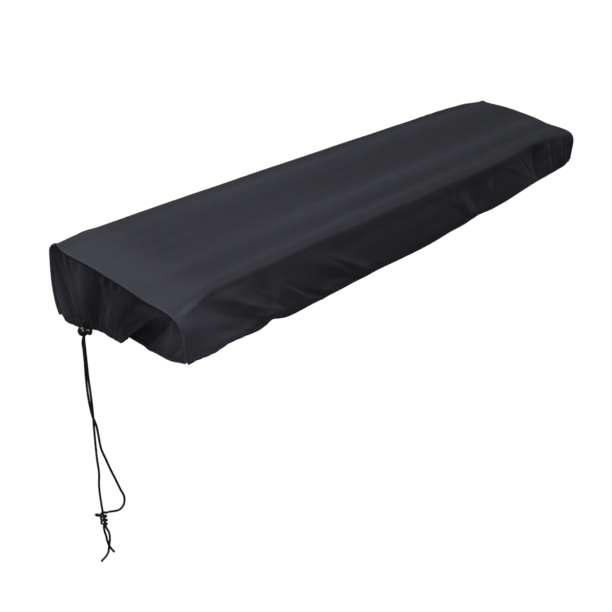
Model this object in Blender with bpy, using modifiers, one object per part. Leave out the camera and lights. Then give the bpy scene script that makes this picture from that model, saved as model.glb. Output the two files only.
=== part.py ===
"""A fitted dust cover for a slim 88-key digital piano, as it sits on the keyboard with its drawstring hanging.

Metres, +Z up. The cover's length runs along X and its back is at +Y. The origin is on the underside of
the top, at mid length, where the keyboard carries it. Heights in the tables are above the level of the
hem, and SEAT is how far the origin is above that level.
"""

import math

import bmesh
import bpy
import numpy as np
from mathutils import Matrix, Vector

# Driving sizes
HALF_LENGTH = 0.669
CLOTH = 0.0014
SEAM_GAP = 0.0008
SEAT = 0.09167 - CLOTH
PIPING_RADIUS = 0.0015
CORD = 0.003
FIT = 0.0003

# Colours of the finishes: colour, roughness, metallic
FINISHES = {
    "stretch_cloth": ((0.028, 0.029, 0.034), 0.82, 0.0),
    "piping": ((0.020, 0.020, 0.024), 0.75, 0.0),
    "cord": ((0.008, 0.008, 0.009), 0.80, 0.0),
    "lock_plastic": ((0.012, 0.012, 0.013), 0.32, 0.0),
}

# The cloth's path over the keyboard, from the back hem to the front one: the middle section and the end seam
PATH = (
    # name, middle y, middle height, end y, end height
    ("back hem edge", 0.1130, -0.0060, 0.1170, -0.0020),
    ("back hem turn", 0.1310, -0.0085, 0.1280, -0.0066),
    ("back low", 0.1375, 0.0120, 0.1338, 0.0140),
    ("back middle", 0.1392, 0.0500, 0.1360, 0.0520),
    ("back high", 0.1380, 0.0950, 0.1338, 0.0900),
    ("back edge", 0.1340, 0.1135, 0.1292, 0.1070),
    ("top back", 0.1210, 0.1192, 0.1150, 0.1142),
    ("panel front", 0.1000, 0.1130, 0.1010, 0.1072),
    ("slope", 0.0560, 0.1020, 0.0560, 0.1002),
    ("keys back", 0.0050, 0.0925, 0.0050, 0.0900),
    ("keys middle", -0.0320, 0.0855, -0.0320, 0.0815),
    ("keys front", -0.0600, 0.0770, -0.0600, 0.0735),
    ("ledge", -0.0850, 0.0740, -0.0880, 0.0690),
    ("ridge", -0.1035, 0.0695, -0.1110, 0.0630),
    ("below ridge", -0.1135, 0.0510, -0.1245, 0.0530),
    ("front middle", -0.1240, 0.0265, -0.1310, 0.0370),
    ("front low", -0.1335, 0.0020, -0.1330, 0.0140),
    ("front hem turn", -0.1355, -0.0125, -0.1330, -0.0020),
    ("front hem edge", -0.1210, -0.0150, -0.1210, 0.0000),
)
BACK_HEM_ROW = 1
BACK_EDGE_ROW = 5.5
KEYS_ROW = 9.5
KEYS_REACH = 2.5
RIDGE_ROW = 13
FACE_ROW = 15
HEM_ROW = 17
ROW_REACH = 1.4
SEAM_ROWS = (1.35, 16.65)
PIPED = (0.02, 0.98)
PIPING_STEPS = 50
PIPING_OFF = {"left": 0.0006, "right": 0.0009}

# How the section changes along the length
LENGTHWISE = (
    # x, end section's share, ridge forward, front face out, front hem up, back edge down, keys up
    (-0.669, 1.00, 0.000, 0.000, -0.0024, -0.0016, 0.0000),
    (-0.652, 0.86, 0.000, 0.000, -0.0004, -0.0018, 0.0000),
    (-0.632, 0.50, 0.000, 0.000, 0.0020, -0.0010, 0.0000),
    (-0.610, 0.12, 0.000, 0.000, 0.0060, 0.0006, 0.0000),
    (-0.590, 0.00, -0.001, 0.000, 0.0095, 0.0020, 0.0000),
    (-0.555, 0.00, -0.002, 0.000, 0.0080, 0.0018, 0.0000),
    (-0.515, 0.00, -0.002, 0.001, 0.0052, 0.0014, 0.0000),
    (-0.503, 0.00, -0.002, 0.000, 0.0060, 0.0013, 0.0000),
    (-0.487, 0.00, -0.002, -0.003, 0.0105, 0.0012, 0.0000),
    (-0.458, 0.00, -0.002, 0.001, 0.0040, 0.0010, 0.0000),
    (-0.380, 0.00, -0.003, 0.001, 0.0010, 0.0006, 0.0000),
    (-0.290, 0.00, -0.002, -0.001, -0.0006, 0.0004, 0.0000),
    (-0.190, 0.00, 0.000, 0.002, -0.0010, 0.0003, 0.0000),
    (-0.100, 0.00, 0.001, 0.002, -0.0046, 0.0004, 0.0000),
    (-0.020, 0.00, 0.003, 0.003, -0.0060, 0.0006, 0.0000),
    (0.070, 0.00, 0.005, 0.002, -0.0034, 0.0004, 0.0000),
    (0.125, 0.00, 0.008, 0.002, -0.0035, 0.0004, 0.0000),
    (0.172, 0.00, 0.010, -0.003, 0.0014, 0.0006, 0.0000),
    (0.220, 0.00, 0.011, 0.001, -0.0028, 0.0008, 0.0000),
    (0.290, 0.00, 0.012, 0.001, -0.0036, 0.0012, 0.0000),
    (0.400, 0.00, 0.006, -0.002, 0.0012, 0.0014, 0.0000),
    (0.470, 0.00, 0.001, -0.008, 0.0040, 0.0016, 0.0004),
    (0.530, 0.05, 0.002, -0.004, 0.0046, 0.0020, 0.0012),
    (0.580, 0.25, 0.005, 0.002, 0.0034, 0.0024, 0.0016),
    (0.630, 0.65, 0.006, 0.001, -0.0004, 0.0046, 0.0022),
    (0.669, 1.00, 0.006, 0.000, 0.0000, 0.0062, 0.0022),
)

# Waves of the back hem along the length
BACK_HEM_WAVES = (
    # wave length, height, phase
    (0.300, 0.0025, 0.6),
    (0.134, 0.0015, 0.0),
)

# How far the hem draws each end seam in, row by row of PATH
DRAWN_IN = {
    "left": {0: 0.018, 1: 0.0065, 2: 0.0015, 17: 0.002, 18: 0.014},
    "right": {0: 0.034, 1: 0.018, 2: 0.008, 15: 0.003, 16: 0.012, 17: 0.021, 18: 0.036},
}
DRAW_REACH = 0.070

# Soft folds of the main panel, each a line from one place to another
ROW_PITCH = 0.022
FADE = 0.22
FOLDS = (
    # x, row, to x, to row, half width, height
    (-0.605, 13.8, -0.494, 16.6, 0.013, -0.0035),
    (-0.570, 13.7, -0.484, 16.4, 0.012, 0.0030),
    (-0.450, 14.2, -0.476, 16.7, 0.012, 0.0025),
    (-0.370, 14.2, -0.235, 16.2, 0.014, 0.0035),
    (-0.345, 15.2, -0.262, 16.4, 0.012, -0.0030),
    (0.112, 14.8, 0.168, 16.8, 0.014, 0.0028),
    (0.240, 14.6, 0.178, 16.8, 0.014, 0.0028),
    (0.500, 13.9, 0.472, 16.4, 0.016, -0.0045),
    (0.548, 13.8, 0.528, 16.5, 0.012, 0.0040),
    (0.600, 13.9, 0.596, 16.2, 0.011, 0.0030),
    (0.420, 7.3, 0.560, 6.1, 0.016, -0.0022),
    (-0.150, 3.6, -0.090, 0.8, 0.018, -0.0040),
    (0.300, 3.2, 0.330, 0.8, 0.018, 0.0040),
    (-0.480, 3.4, -0.500, 0.8, 0.018, 0.0040),
)

# The hem of each end panel from back to front, and what each place of it hangs from
LEFT_END = (
    # seam share, hem y, hem height, hem inset, fold out at mid height
    (0.000, 0.1245, -0.0078, 0.0035, 0.0000),
    (0.040, 0.1225, -0.0098, 0.0040, 0.0000),
    (0.090, 0.1195, -0.0128, 0.0050, 0.0000),
    (0.130, 0.1150, -0.0144, 0.0062, 0.0015),
    (0.200, 0.1070, -0.0145, 0.0072, -0.0010),
    (0.265, 0.0990, -0.0152, 0.0075, -0.0055),
    (0.320, 0.0900, -0.0150, 0.0066, -0.0020),
    (0.370, 0.0810, -0.0120, 0.0060, 0.0055),
    (0.420, 0.0700, -0.0100, 0.0070, 0.0050),
    (0.460, 0.0580, -0.0100, 0.0082, 0.0000),
    (0.500, 0.0475, -0.0084, 0.0080, -0.0055),
    (0.550, 0.0360, -0.0084, 0.0062, -0.0040),
    (0.600, 0.0240, -0.0094, 0.0030, 0.0030),
    (0.650, 0.0120, -0.0086, 0.0010, 0.0025),
    (0.700, 0.0020, -0.0080, -0.0015, 0.0005),
    (0.740, -0.0070, -0.0064, -0.0040, 0.0010),
    (0.757, -0.0115, -0.0044, -0.0038, 0.0024),
    (0.769, -0.0152, 0.0004, -0.0012, 0.0016),
    (0.780, -0.0182, 0.0000, 0.0042, -0.0016),
    (0.791, -0.0208, -0.0060, 0.0096, -0.0050),
    (0.803, -0.0250, -0.0116, 0.0130, -0.0074),
    (0.818, -0.0330, -0.0152, 0.0142, -0.0072),
    (0.834, -0.0420, -0.0156, 0.0130, -0.0060),
    (0.850, -0.0560, -0.0118, 0.0105, -0.0035),
    (0.868, -0.0720, -0.0100, 0.0080, -0.0010),
    (0.888, -0.0870, -0.0120, 0.0055, 0.0010),
    (0.912, -0.1030, -0.0096, 0.0040, 0.0010),
    (0.940, -0.1160, -0.0072, 0.0030, 0.0005),
    (0.970, -0.1230, -0.0054, 0.0022, 0.0002),
    (1.000, -0.1280, -0.0046, 0.0018, 0.0000),
)
RIGHT_END = (
    # seam share, hem y, hem height, hem inset, fold out at mid height
    (0.000, 0.1265, 0.0000, 0.0155, 0.0000),
    (0.040, 0.1235, 0.0000, 0.0160, 0.0000),
    (0.090, 0.1190, -0.0015, 0.0175, 0.0005),
    (0.150, 0.1100, -0.0055, 0.0185, 0.0020),
    (0.240, 0.0980, -0.0060, 0.0180, -0.0030),
    (0.310, 0.0830, -0.0030, 0.0190, -0.0050),
    (0.370, 0.0680, -0.0015, 0.0165, 0.0035),
    (0.430, 0.0510, -0.0040, 0.0155, 0.0050),
    (0.490, 0.0330, -0.0050, 0.0170, -0.0030),
    (0.550, 0.0160, -0.0020, 0.0175, -0.0045),
    (0.610, -0.0010, -0.0030, 0.0155, 0.0030),
    (0.670, -0.0180, -0.0055, 0.0150, 0.0045),
    (0.720, -0.0350, -0.0045, 0.0165, -0.0020),
    (0.770, -0.0510, -0.0010, 0.0175, -0.0045),
    (0.810, -0.0670, -0.0020, 0.0160, 0.0020),
    (0.850, -0.0830, -0.0045, 0.0165, 0.0030),
    (0.890, -0.0980, -0.0030, 0.0180, 0.0000),
    (0.925, -0.1110, -0.0020, 0.0190, 0.0000),
    (0.965, -0.1210, -0.0008, 0.0185, 0.0000),
    (1.000, -0.1270, -0.0008, 0.0178, 0.0000),
)
HEM_LIP = 0.008
LIP_RISE = 0.0015
LEAST_LIP = 0.2
PLEAT_LIP = 0.4
CORNER_REACH = 0.18
HANG_EASE = 1.3
FOLD_EASE = 1.5
PLEAT_AT = 0.778
PLEAT_REACH = 0.035

# Grid sizes of the cloth
LENGTH_STEPS = 60
FINER_ENDS = 0.45
PATH_STEPS = 31
END_STEPS = 34
FINE_STEPS = 600
LEAST_STEP = 0.35
CORNER_CLEAR = 0.08
DROP_STEPS = 7
LIP_STEPS = 1

# The cord lock, a ball with a sprung plunger across it
LOCK_PLACE = Vector((-0.6716, 0.0750, -0.0108 - SEAT))
LOCK_TURN = math.radians(-70.0)
LOCK_RADIUS = 0.0083
BALL_SIDES = 28
BALL_RINGS = 18
PLUNGER_RADIUS = 0.0044
PLUNGER_CAP_AT = 0.0097
PLUNGER_CAP_RADIUS = 0.0052
PLUNGER_CAP = 0.0032
PLUNGER_WALL = 0.0012
CAP_ROUND = 0.0012
HOLE_CORNER = 0.0012
TRAVEL = 0.0025
CORD_CLEAR = 0.0003
HALF_SLOT = CORD / 2 + CORD_CLEAR
PLUNGER_REAR = -HALF_SLOT - PLUNGER_WALL

# The drawstring's two ends hang in an upright plane through the lock; side is metres along HANG_SIDE
HANG_TURN = math.radians(-53.0)
HANG_SIDE = Vector((math.cos(HANG_TURN), math.sin(HANG_TURN), 0.0))
HANG_BACK = Vector((-math.sin(HANG_TURN), math.cos(HANG_TURN), 0.0))
LOOP_STRAND = (
    # side, behind, below the lock's centre
    (-0.0031, -0.0010, 0.0160),
    (-0.0026, -0.0012, 0.0300),
    (-0.0028, -0.0012, 0.0500),
    (-0.0044, -0.0012, 0.0780),
    (-0.0046, -0.0014, 0.1050),
    (-0.0028, -0.0018, 0.1250),
    (0.0004, -0.0020, 0.1440),
    (0.0047, -0.0014, 0.1620),
    (0.0060, -0.0008, 0.1800),
    (0.0080, 0.0000, 0.2050),
    (0.0132, 0.0008, 0.2240),
    (0.0186, 0.0014, 0.2430),
    (0.0258, 0.0020, 0.2650),
    (0.0314, 0.0026, 0.2830),
    (0.0356, 0.0030, 0.2950),
    (0.0356, 0.0030, 0.3050),
    (0.0316, 0.0026, 0.3158),
    (0.0242, 0.0020, 0.3222),
    (0.0160, 0.0012, 0.3236),
    (0.0106, 0.0006, 0.3240),
    (0.0046, 0.0002, 0.3258),
)
STRAIGHT_STRAND = (
    # side, behind, below the lock's centre
    (-0.0001, 0.0014, 0.0160),
    (-0.0005, 0.0018, 0.0300),
    (-0.0006, 0.0018, 0.0500),
    (-0.0004, 0.0016, 0.0780),
    (0.0008, 0.0018, 0.1050),
    (0.0010, 0.0018, 0.1250),
    (0.0004, 0.0018, 0.1440),
    (-0.0002, 0.0016, 0.1640),
    (-0.0006, 0.0012, 0.1900),
    (-0.0006, 0.0008, 0.2250),
    (0.0002, 0.0004, 0.2500),
    (-0.0018, 0.0002, 0.2720),
    (-0.0020, 0.0000, 0.2900),
    (-0.0014, 0.0000, 0.3080),
    (-0.0007, 0.0000, 0.3237),
)
SHORT_TAIL = (
    # side, behind, below the lock's centre
    (-0.0018, 0.0010, 0.3543),
    (-0.0014, 0.0016, 0.3640),
    (0.0002, 0.0022, 0.3740),
    (0.0010, 0.0024, 0.3830),
    (0.0034, 0.0024, 0.3930),
    (0.0068, 0.0022, 0.4000),
    (0.0108, 0.0018, 0.4055),
)
LONG_TAIL = (
    # side, behind, below the lock's centre
    (0.0026, -0.0010, 0.3545),
    (0.0060, -0.0014, 0.3620),
    (0.0070, -0.0018, 0.3720),
    (0.0062, -0.0022, 0.3820),
    (0.0040, -0.0024, 0.3920),
    (0.0026, -0.0022, 0.4010),
    (-0.0008, -0.0018, 0.4090),
    (-0.0062, -0.0014, 0.4165),
    (-0.0110, -0.0010, 0.4222),
)
CORD_STEP = 0.0100
TO_HEM = Vector((0.0030, 0.0000, 0.0068))
HEM_SPREAD = 0.0006
KNOT_TOP = 0.3240
KNOT_BOTTOM = 0.3538
KNOT_RADIUS = 0.0046
KNOT_RIDGE = 0.0010
KNOT_TURNS = 2.5
KNOT_BLUNT = 0.4
KNOT_SIDES = 20
KNOT_RINGS = 22
BIGHT = (
    # side, behind, below the lock's centre, radius
    (-0.0010, 0.0000, 0.3325, 0.0032),
    (-0.0055, 0.0000, 0.3312, 0.0028),
    (-0.0100, 0.0002, 0.3302, 0.0022),
    (-0.0147, 0.0004, 0.3308, 0.0016),
)


def clear_scene():
    """Removes what the scene holds, so that only the cover is left."""
    for obj in list(bpy.data.objects):
        bpy.data.objects.remove(obj)


def new_collection(name, hidden=False):
    """A collection in the scene; a hidden one holds cutters."""
    made = bpy.data.collections.new(name)
    bpy.context.scene.collection.children.link(made)
    made.hide_render = hidden
    return made


def finish_material(name):
    """A Principled material with the named finish."""
    colour, roughness, metallic = FINISHES[name]
    made = bpy.data.materials.get(name) or bpy.data.materials.new(name)
    made.use_nodes = True
    shader = made.node_tree.nodes["Principled BSDF"]
    shader.inputs["Base Color"].default_value = (*colour, 1.0)
    shader.inputs["Roughness"].default_value = roughness
    shader.inputs["Metallic"].default_value = metallic
    return made


def add_part(name, mesh, collection, finish):
    """A named object of the cover with its finish."""
    obj = bpy.data.objects.new(name, mesh)
    collection.objects.link(obj)
    mesh.materials.clear()
    mesh.materials.append(finish_material(finish))
    return obj


def row_weights(at, rows):
    """A uniform cubic B-spline's weights: a place along the rows is a mean of the four rows around it."""
    at = np.asarray(at, float)
    first = np.clip(np.floor(at), 0, rows - 2).astype(int)
    f = at - first
    shares = ((1 - f) ** 3, 3 * f**3 - 6 * f**2 + 4, -3 * f**3 + 3 * f**2 + 3 * f + 1, f**3)
    padded = np.zeros((len(at), rows + 2))
    for step, share in enumerate(shares):
        padded[np.arange(len(at)), first + step] += share / 6
    weights = padded[:, 1:-1].copy()
    weights[:, 0] += 2 * padded[:, 0]
    weights[:, 1] -= padded[:, 0]
    weights[:, -1] += 2 * padded[:, -1]
    weights[:, -2] -= padded[:, -1]
    return weights


def eased(x, knots, values):
    """A smooth curve through the table's values: cubic between knots, with the slopes of its neighbours."""
    knots = np.asarray(knots, float)
    values = np.asarray(values, float)
    slopes = np.gradient(values, knots)
    i = np.clip(np.searchsorted(knots, x) - 1, 0, len(knots) - 2)
    span = knots[i + 1] - knots[i]
    t = (x - knots[i]) / span
    start = (1 + 2 * t) * (1 - t) ** 2 * values[i] + t * (1 - t) ** 2 * span * slopes[i]
    return start + t**2 * (3 - 2 * t) * values[i + 1] + t**2 * (t - 1) * span * slopes[i + 1]


def smooth(t):
    """Eases from 0 to 1."""
    t = np.clip(t, 0.0, 1.0)
    return t * t * (3 - 2 * t)


def near_row(rows, middle, reach=ROW_REACH):
    """A bell that is 1 at its middle row and fades over the rows beside it."""
    return np.exp(-(((rows - middle) / reach) ** 2))


def main_surface(x, row):
    """The main panel's outer face: at each x a B-spline through PATH's rows, blended from the middle section
    to the end seam, with the ridge, face and hem moved as LENGTHWISE says, and each end drawn in at the hem."""
    path = np.array([line[1:] for line in PATH])
    table = np.array(LENGTHWISE)
    columns = (eased(x, table[:, 0], table[:, k]) for k in range(1, table.shape[1]))
    share, ridge_out, face_out, hem_up, back_down, keys_up = columns
    share = np.clip(share, 0.0, 1.0)
    rows = np.arange(len(path))
    y = np.outer(1 - share, path[:, 0]) + np.outer(share, path[:, 2])
    z = np.outer(1 - share, path[:, 1]) + np.outer(share, path[:, 3])
    y -= np.outer(ridge_out, near_row(rows, RIDGE_ROW))
    y -= np.outer(face_out, near_row(rows, FACE_ROW))
    z += np.outer(hem_up, near_row(rows, HEM_ROW))
    z -= np.outer(back_down, near_row(rows, BACK_EDGE_ROW))
    z += np.outer(keys_up, near_row(rows, KEYS_ROW, KEYS_REACH))
    wave = sum(height * np.sin(2 * np.pi * x / length + phase) for length, height, phase in BACK_HEM_WAVES)
    z += np.outer(wave * (1 - share), near_row(rows, BACK_HEM_ROW))
    pull = np.zeros_like(y)
    for side, sign in (("left", 1), ("right", -1)):
        near = smooth(1 - (x * sign + HALF_LENGTH) / DRAW_REACH)
        drawn = np.array([DRAWN_IN[side].get(r, 0.0) for r in rows])
        pull += sign * np.outer(near, drawn)
    weights = row_weights(row, len(path)) @ np.linalg.inv(row_weights(rows, len(path)))
    return np.stack([x[:, None] + pull @ weights.T, y @ weights.T, z @ weights.T - SEAT], axis=-1)


def fold_heights(x, row):
    """How far the folds stand out of the main panel: each is a bell across its line that fades at both ends."""
    height = np.zeros((len(x), len(row)))
    for x0, row0, x1, row1, half_width, top in FOLDS:
        a = np.array([x0, row0 * ROW_PITCH])
        b = np.array([x1, row1 * ROW_PITCH])
        along = b - a
        dx = x[:, None] - a[0]
        ds = row[None, :] * ROW_PITCH - a[1]
        t = (dx * along[0] + ds * along[1]) / (along @ along)
        off = np.abs(dx * along[1] - ds * along[0]) / np.sqrt(along @ along)
        fade = smooth((t + FADE) / (2 * FADE)) * smooth((1 + FADE - t) / (2 * FADE))
        height += top * fade * np.exp(-((off / half_width) ** 2))
    return height


def outward(points, flip=1.0):
    """Each grid point's normal, from its neighbours in both directions."""
    normal = np.cross(np.gradient(points, axis=0), np.gradient(points, axis=1))
    return flip * normal / np.maximum(np.linalg.norm(normal, axis=-1, keepdims=True), 1e-12)


def cloth_from_grid(name, points, collection, finish, thickness=CLOTH):
    """A grid mesh whose points take the worked-out places, made a sheet by Solidify on its inner side."""
    across, along = points.shape[1] - 1, points.shape[0] - 1
    mesh = bpy.data.meshes.new(name)
    bm = bmesh.new()
    bmesh.ops.create_grid(bm, x_segments=along, y_segments=across, size=1.0)
    for vert in bm.verts:
        i = round((vert.co.x + 1) / 2 * along)
        j = round((vert.co.y + 1) / 2 * across)
        vert.co = Vector(points[i, j])
    bm.to_mesh(mesh)
    bm.free()
    mesh.shade_smooth()
    obj = add_part(name, mesh, collection, finish)
    solid = obj.modifiers.new("cloth", "SOLIDIFY")
    solid.thickness = thickness
    solid.offset = -1.0
    return obj


def main_panel(collection):
    """One cloth from the back hem, over the top and down the front, with finer steps towards its ends."""
    u = np.linspace(-1, 1, LENGTH_STEPS + 1)
    x = HALF_LENGTH * ((1 - FINER_ENDS) * u + FINER_ENDS * np.sin(np.pi / 2 * u))
    row = np.linspace(0, len(PATH) - 1, PATH_STEPS + 1)
    points = main_surface(x, row)
    points += outward(points, -1.0) * fold_heights(x, row)[..., None]
    return cloth_from_grid("main_panel", points[:, ::-1], collection, "stretch_cloth")


def edge_line(side, inward):
    """The main panel's last section, moved inward from its outer face, and each point's share of the seam."""
    sign = -1 if side == "left" else 1
    rows = np.linspace(0, len(PATH) - 1, PATH_STEPS + 1)
    line = main_surface(np.array([sign * HALF_LENGTH]), rows)[0]
    tangent = np.gradient(line[:, 1:], axis=0)
    tangent /= np.linalg.norm(tangent, axis=1, keepdims=True)
    line[:, 1] -= tangent[:, 1] * inward
    line[:, 2] += tangent[:, 0] * inward
    along = np.concatenate([[0], np.cumsum(np.linalg.norm(np.diff(line, axis=0), axis=1))])
    first, last = np.interp(SEAM_ROWS, rows, along)
    return line, (along - first) / (last - first)


def seam_knots(side, inward):
    """The shares of the seam at which the main panel's edge has its points."""
    return edge_line(side, inward)[1]


def seam_line(side, share, inward):
    """The end seam at each share of its length."""
    line, shares = edge_line(side, inward)
    return np.stack([np.interp(share, shares, line[:, k]) for k in range(3)], axis=-1)


def end_surface(side, table, columns):
    """An end panel's outer face: each column runs from the seam down to the hem and turns in at a lip.
    Its folds stand out most at mid height. The main panel's own points along the seam get columns too."""
    sign = -1 if side == "left" else 1
    table = np.array(table)
    fine = np.linspace(0, len(table) - 1, FINE_STEPS)
    shares = row_weights(fine, len(table)) @ table[:, 0]
    knots = seam_knots(side, CLOTH + SEAM_GAP)
    knots = np.interp(knots[(knots > CORNER_CLEAR) & (knots < 1 - CORNER_CLEAR)], shares, fine)
    step = (len(table) - 1) / columns
    even = [t for t in step * np.arange(columns + 1) if np.abs(knots - t).min() > LEAST_STEP * step]
    at = np.sort(np.concatenate([knots, even]))
    weights = row_weights(at, len(table))
    share, y, z, inset, fold = (weights @ table[:, k] for k in range(5))
    seam = seam_line(side, np.clip(share, 0, 1), CLOTH + SEAM_GAP)
    hem = np.stack([sign * (HALF_LENGTH - inset), y, z - SEAT], axis=-1)
    turned = 1 - (1 - LEAST_LIP) * (1 - smooth(np.minimum(share, 1 - share) / CORNER_REACH))
    if side == "left":
        turned *= 1 - (1 - PLEAT_LIP) * np.exp(-(((share - PLEAT_AT) / PLEAT_REACH) ** 2))
    drop = np.concatenate([np.linspace(0, 1, DROP_STEPS + 1), 1 + np.arange(1, LIP_STEPS + 1)])
    points = np.zeros((len(at), len(drop), 3))
    for j, d in enumerate(drop):
        t = min(d, 1.0)
        ease = t**HANG_EASE
        points[:, j] = seam * (1 - t) + hem * t
        points[:, j, 0] = seam[:, 0] * (1 - ease) + hem[:, 0] * ease
        points[:, j, 0] += sign * fold * np.sin(np.pi * t) ** FOLD_EASE
        if d > 1:
            lip = (d - 1) / LIP_STEPS * turned
            points[:, j, 0] -= sign * HEM_LIP * lip
            points[:, j, 2] += LIP_RISE * lip**2
    return points


def end_panel(side, table, collection):
    """The cloth that closes one end, sewn to the main panel all round and gathered along its hem."""
    points = end_surface(side, table, END_STEPS)
    if side == "left":
        points = points[::-1]
    return cloth_from_grid(f"{side}_end_panel", points, collection, "stretch_cloth")


def tube(name, line, radius, collection, finish, sides=2):
    """A curve object along the line, with a round bevel and filled caps."""
    curve = bpy.data.curves.new(name, "CURVE")
    curve.dimensions = "3D"
    spline = curve.splines.new("POLY")
    spline.points.add(len(line) - 1)
    for point, place in zip(spline.points, line):
        point.co = (*place, 1.0)
    curve.bevel_depth = radius
    curve.bevel_resolution = sides
    curve.use_fill_caps = True
    return add_part(name, curve, collection, finish)


def end_piping(side, collection):
    """The piped welt of the end seam, just outside the main panel's edge."""
    sign = -1 if side == "left" else 1
    line = seam_line(side, np.linspace(*PIPED, PIPING_STEPS), FIT)
    along = np.gradient(line, axis=0)
    along /= np.linalg.norm(along, axis=1, keepdims=True)
    out = np.array([sign, 0, 0]) - along * along[:, :1] * sign
    line += out / np.linalg.norm(out, axis=1, keepdims=True) * (PIPING_RADIUS + PIPING_OFF[side])
    return tube(f"{side}_piping", line, PIPING_RADIUS, collection, "piping", sides=1)


def joined(name, obj, collection, finish):
    """The object's evaluated mesh as a new object, with its caps welded; the old object goes."""
    bpy.context.view_layer.update()
    graph = bpy.context.evaluated_depsgraph_get()
    mesh = bpy.data.meshes.new_from_object(obj.evaluated_get(graph))
    mesh.transform(obj.matrix_world)
    bm = bmesh.new()
    bm.from_mesh(mesh)
    bmesh.ops.remove_doubles(bm, verts=bm.verts, dist=0.00001)
    bm.to_mesh(mesh)
    bm.free()
    bpy.data.objects.remove(obj)
    return add_part(name, mesh, collection, finish)


def boolean(obj, other, operation):
    """A Boolean modifier with the exact solver."""
    cut = obj.modifiers.new(operation.lower(), "BOOLEAN")
    cut.operation = operation
    cut.object = other
    cut.solver = "EXACT"


def cylinder_mesh(name, radius, start, end, sides=24, cap_bevel=0.0):
    """A cylinder along +X from start to end, with a rounded outer rim if cap_bevel is given."""
    mesh = bpy.data.meshes.new(name)
    bm = bmesh.new()
    turn = Matrix.Rotation(math.pi / 2, 4, "Y")
    place = Matrix.Translation(((start + end) / 2, 0, 0))
    bmesh.ops.create_cone(
        bm, cap_ends=True, segments=sides, radius1=radius, radius2=radius, depth=end - start, matrix=place @ turn
    )
    if cap_bevel:
        rim = [edge for edge in bm.edges if all(v.co.x > end - 1e-6 for v in edge.verts)]
        bmesh.ops.bevel(bm, geom=rim, offset=cap_bevel, segments=3, profile=0.5, affect="EDGES")
    bm.to_mesh(mesh)
    bm.free()
    return mesh


def slot_cutter(name, along, across, collection):
    """An upright cutter with the slot's size along the plunger and across it."""
    mesh = bpy.data.meshes.new(name)
    bm = bmesh.new()
    size = Matrix.Diagonal((along[1] - along[0], across, 4 * LOCK_RADIUS, 1.0))
    place = Matrix.Translation(((along[0] + along[1]) / 2, 0, 0))
    bmesh.ops.create_cube(bm, size=1.0, matrix=place @ size)
    upright = [edge for edge in bm.edges if abs(edge.verts[0].co.z - edge.verts[1].co.z) > LOCK_RADIUS]
    bmesh.ops.bevel(bm, geom=upright, offset=HOLE_CORNER, segments=2, profile=0.5, affect="EDGES")
    bm.to_mesh(mesh)
    bm.free()
    cutter = bpy.data.objects.new(name, mesh)
    collection.objects.link(cutter)
    cutter.hide_render = True
    cutter.display_type = "WIRE"
    return cutter


def cord_lock(collection, cutters):
    """A ball with an upright hole for both cords and a blind bore for the plunger, whose own hole grips them."""
    frame = Matrix.Translation(LOCK_PLACE) @ Matrix.Rotation(LOCK_TURN, 4, "Z")
    slot_width = 2 * CORD + FIT + 2 * CORD_CLEAR
    mesh = bpy.data.meshes.new("cord_lock_body")
    bm = bmesh.new()
    bmesh.ops.create_uvsphere(bm, u_segments=BALL_SIDES, v_segments=BALL_RINGS, radius=LOCK_RADIUS)
    bm.to_mesh(mesh)
    bm.free()
    mesh.shade_smooth()
    body = add_part("cord_lock_body", mesh, collection, "lock_plastic")
    bore = bpy.data.objects.new(
        "plunger_bore",
        cylinder_mesh("plunger_bore", PLUNGER_RADIUS + FIT, PLUNGER_REAR - TRAVEL - FIT, 2 * LOCK_RADIUS),
    )
    cutters.objects.link(bore)
    bore.hide_render = True
    bore.display_type = "WIRE"
    body_hole = slot_cutter("body_hole", (-HALF_SLOT, HALF_SLOT), slot_width, cutters)
    plunger_hole = slot_cutter("plunger_hole", (-HALF_SLOT, HALF_SLOT + TRAVEL), slot_width, cutters)
    plunger = add_part(
        "cord_lock_button",
        cylinder_mesh("cord_lock_button", PLUNGER_RADIUS, PLUNGER_REAR, PLUNGER_CAP_AT + FIT),
        collection,
        "lock_plastic",
    )
    cap = bpy.data.objects.new(
        "plunger_cap",
        cylinder_mesh(
            "plunger_cap", PLUNGER_CAP_RADIUS, PLUNGER_CAP_AT, PLUNGER_CAP_AT + PLUNGER_CAP, cap_bevel=CAP_ROUND
        ),
    )
    cutters.objects.link(cap)
    cap.hide_render = True
    cap.display_type = "WIRE"
    for piece in (body, bore, body_hole, plunger_hole, plunger, cap):
        piece.matrix_world = frame
    boolean(body, bore, "DIFFERENCE")
    boolean(body, body_hole, "DIFFERENCE")
    boolean(plunger, cap, "UNION")
    boolean(plunger, plunger_hole, "DIFFERENCE")
    return body, plunger


def hang_place(side, behind, below):
    """A place of the hanging cord, from its distances to the lock's centre."""
    return LOCK_PLACE + HANG_SIDE * side + HANG_BACK * behind - Vector((0, 0, below))


def cord_line(route, start=None):
    """A smooth curve through the route's points, read off at even steps."""
    points = [start] if start is not None else []
    points += [hang_place(*line[:3]) for line in route]
    points = np.array([tuple(p) for p in points])
    steps = np.linalg.norm(np.diff(points, axis=0), axis=1)
    knots = np.concatenate([[0], np.cumsum(steps)])
    count = max(3, round(knots[-1] / CORD_STEP) + 1)
    at = np.linspace(0, knots[-1], count)
    return np.stack([eased(at, knots, points[:, k]) for k in range(3)], axis=-1)


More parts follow.
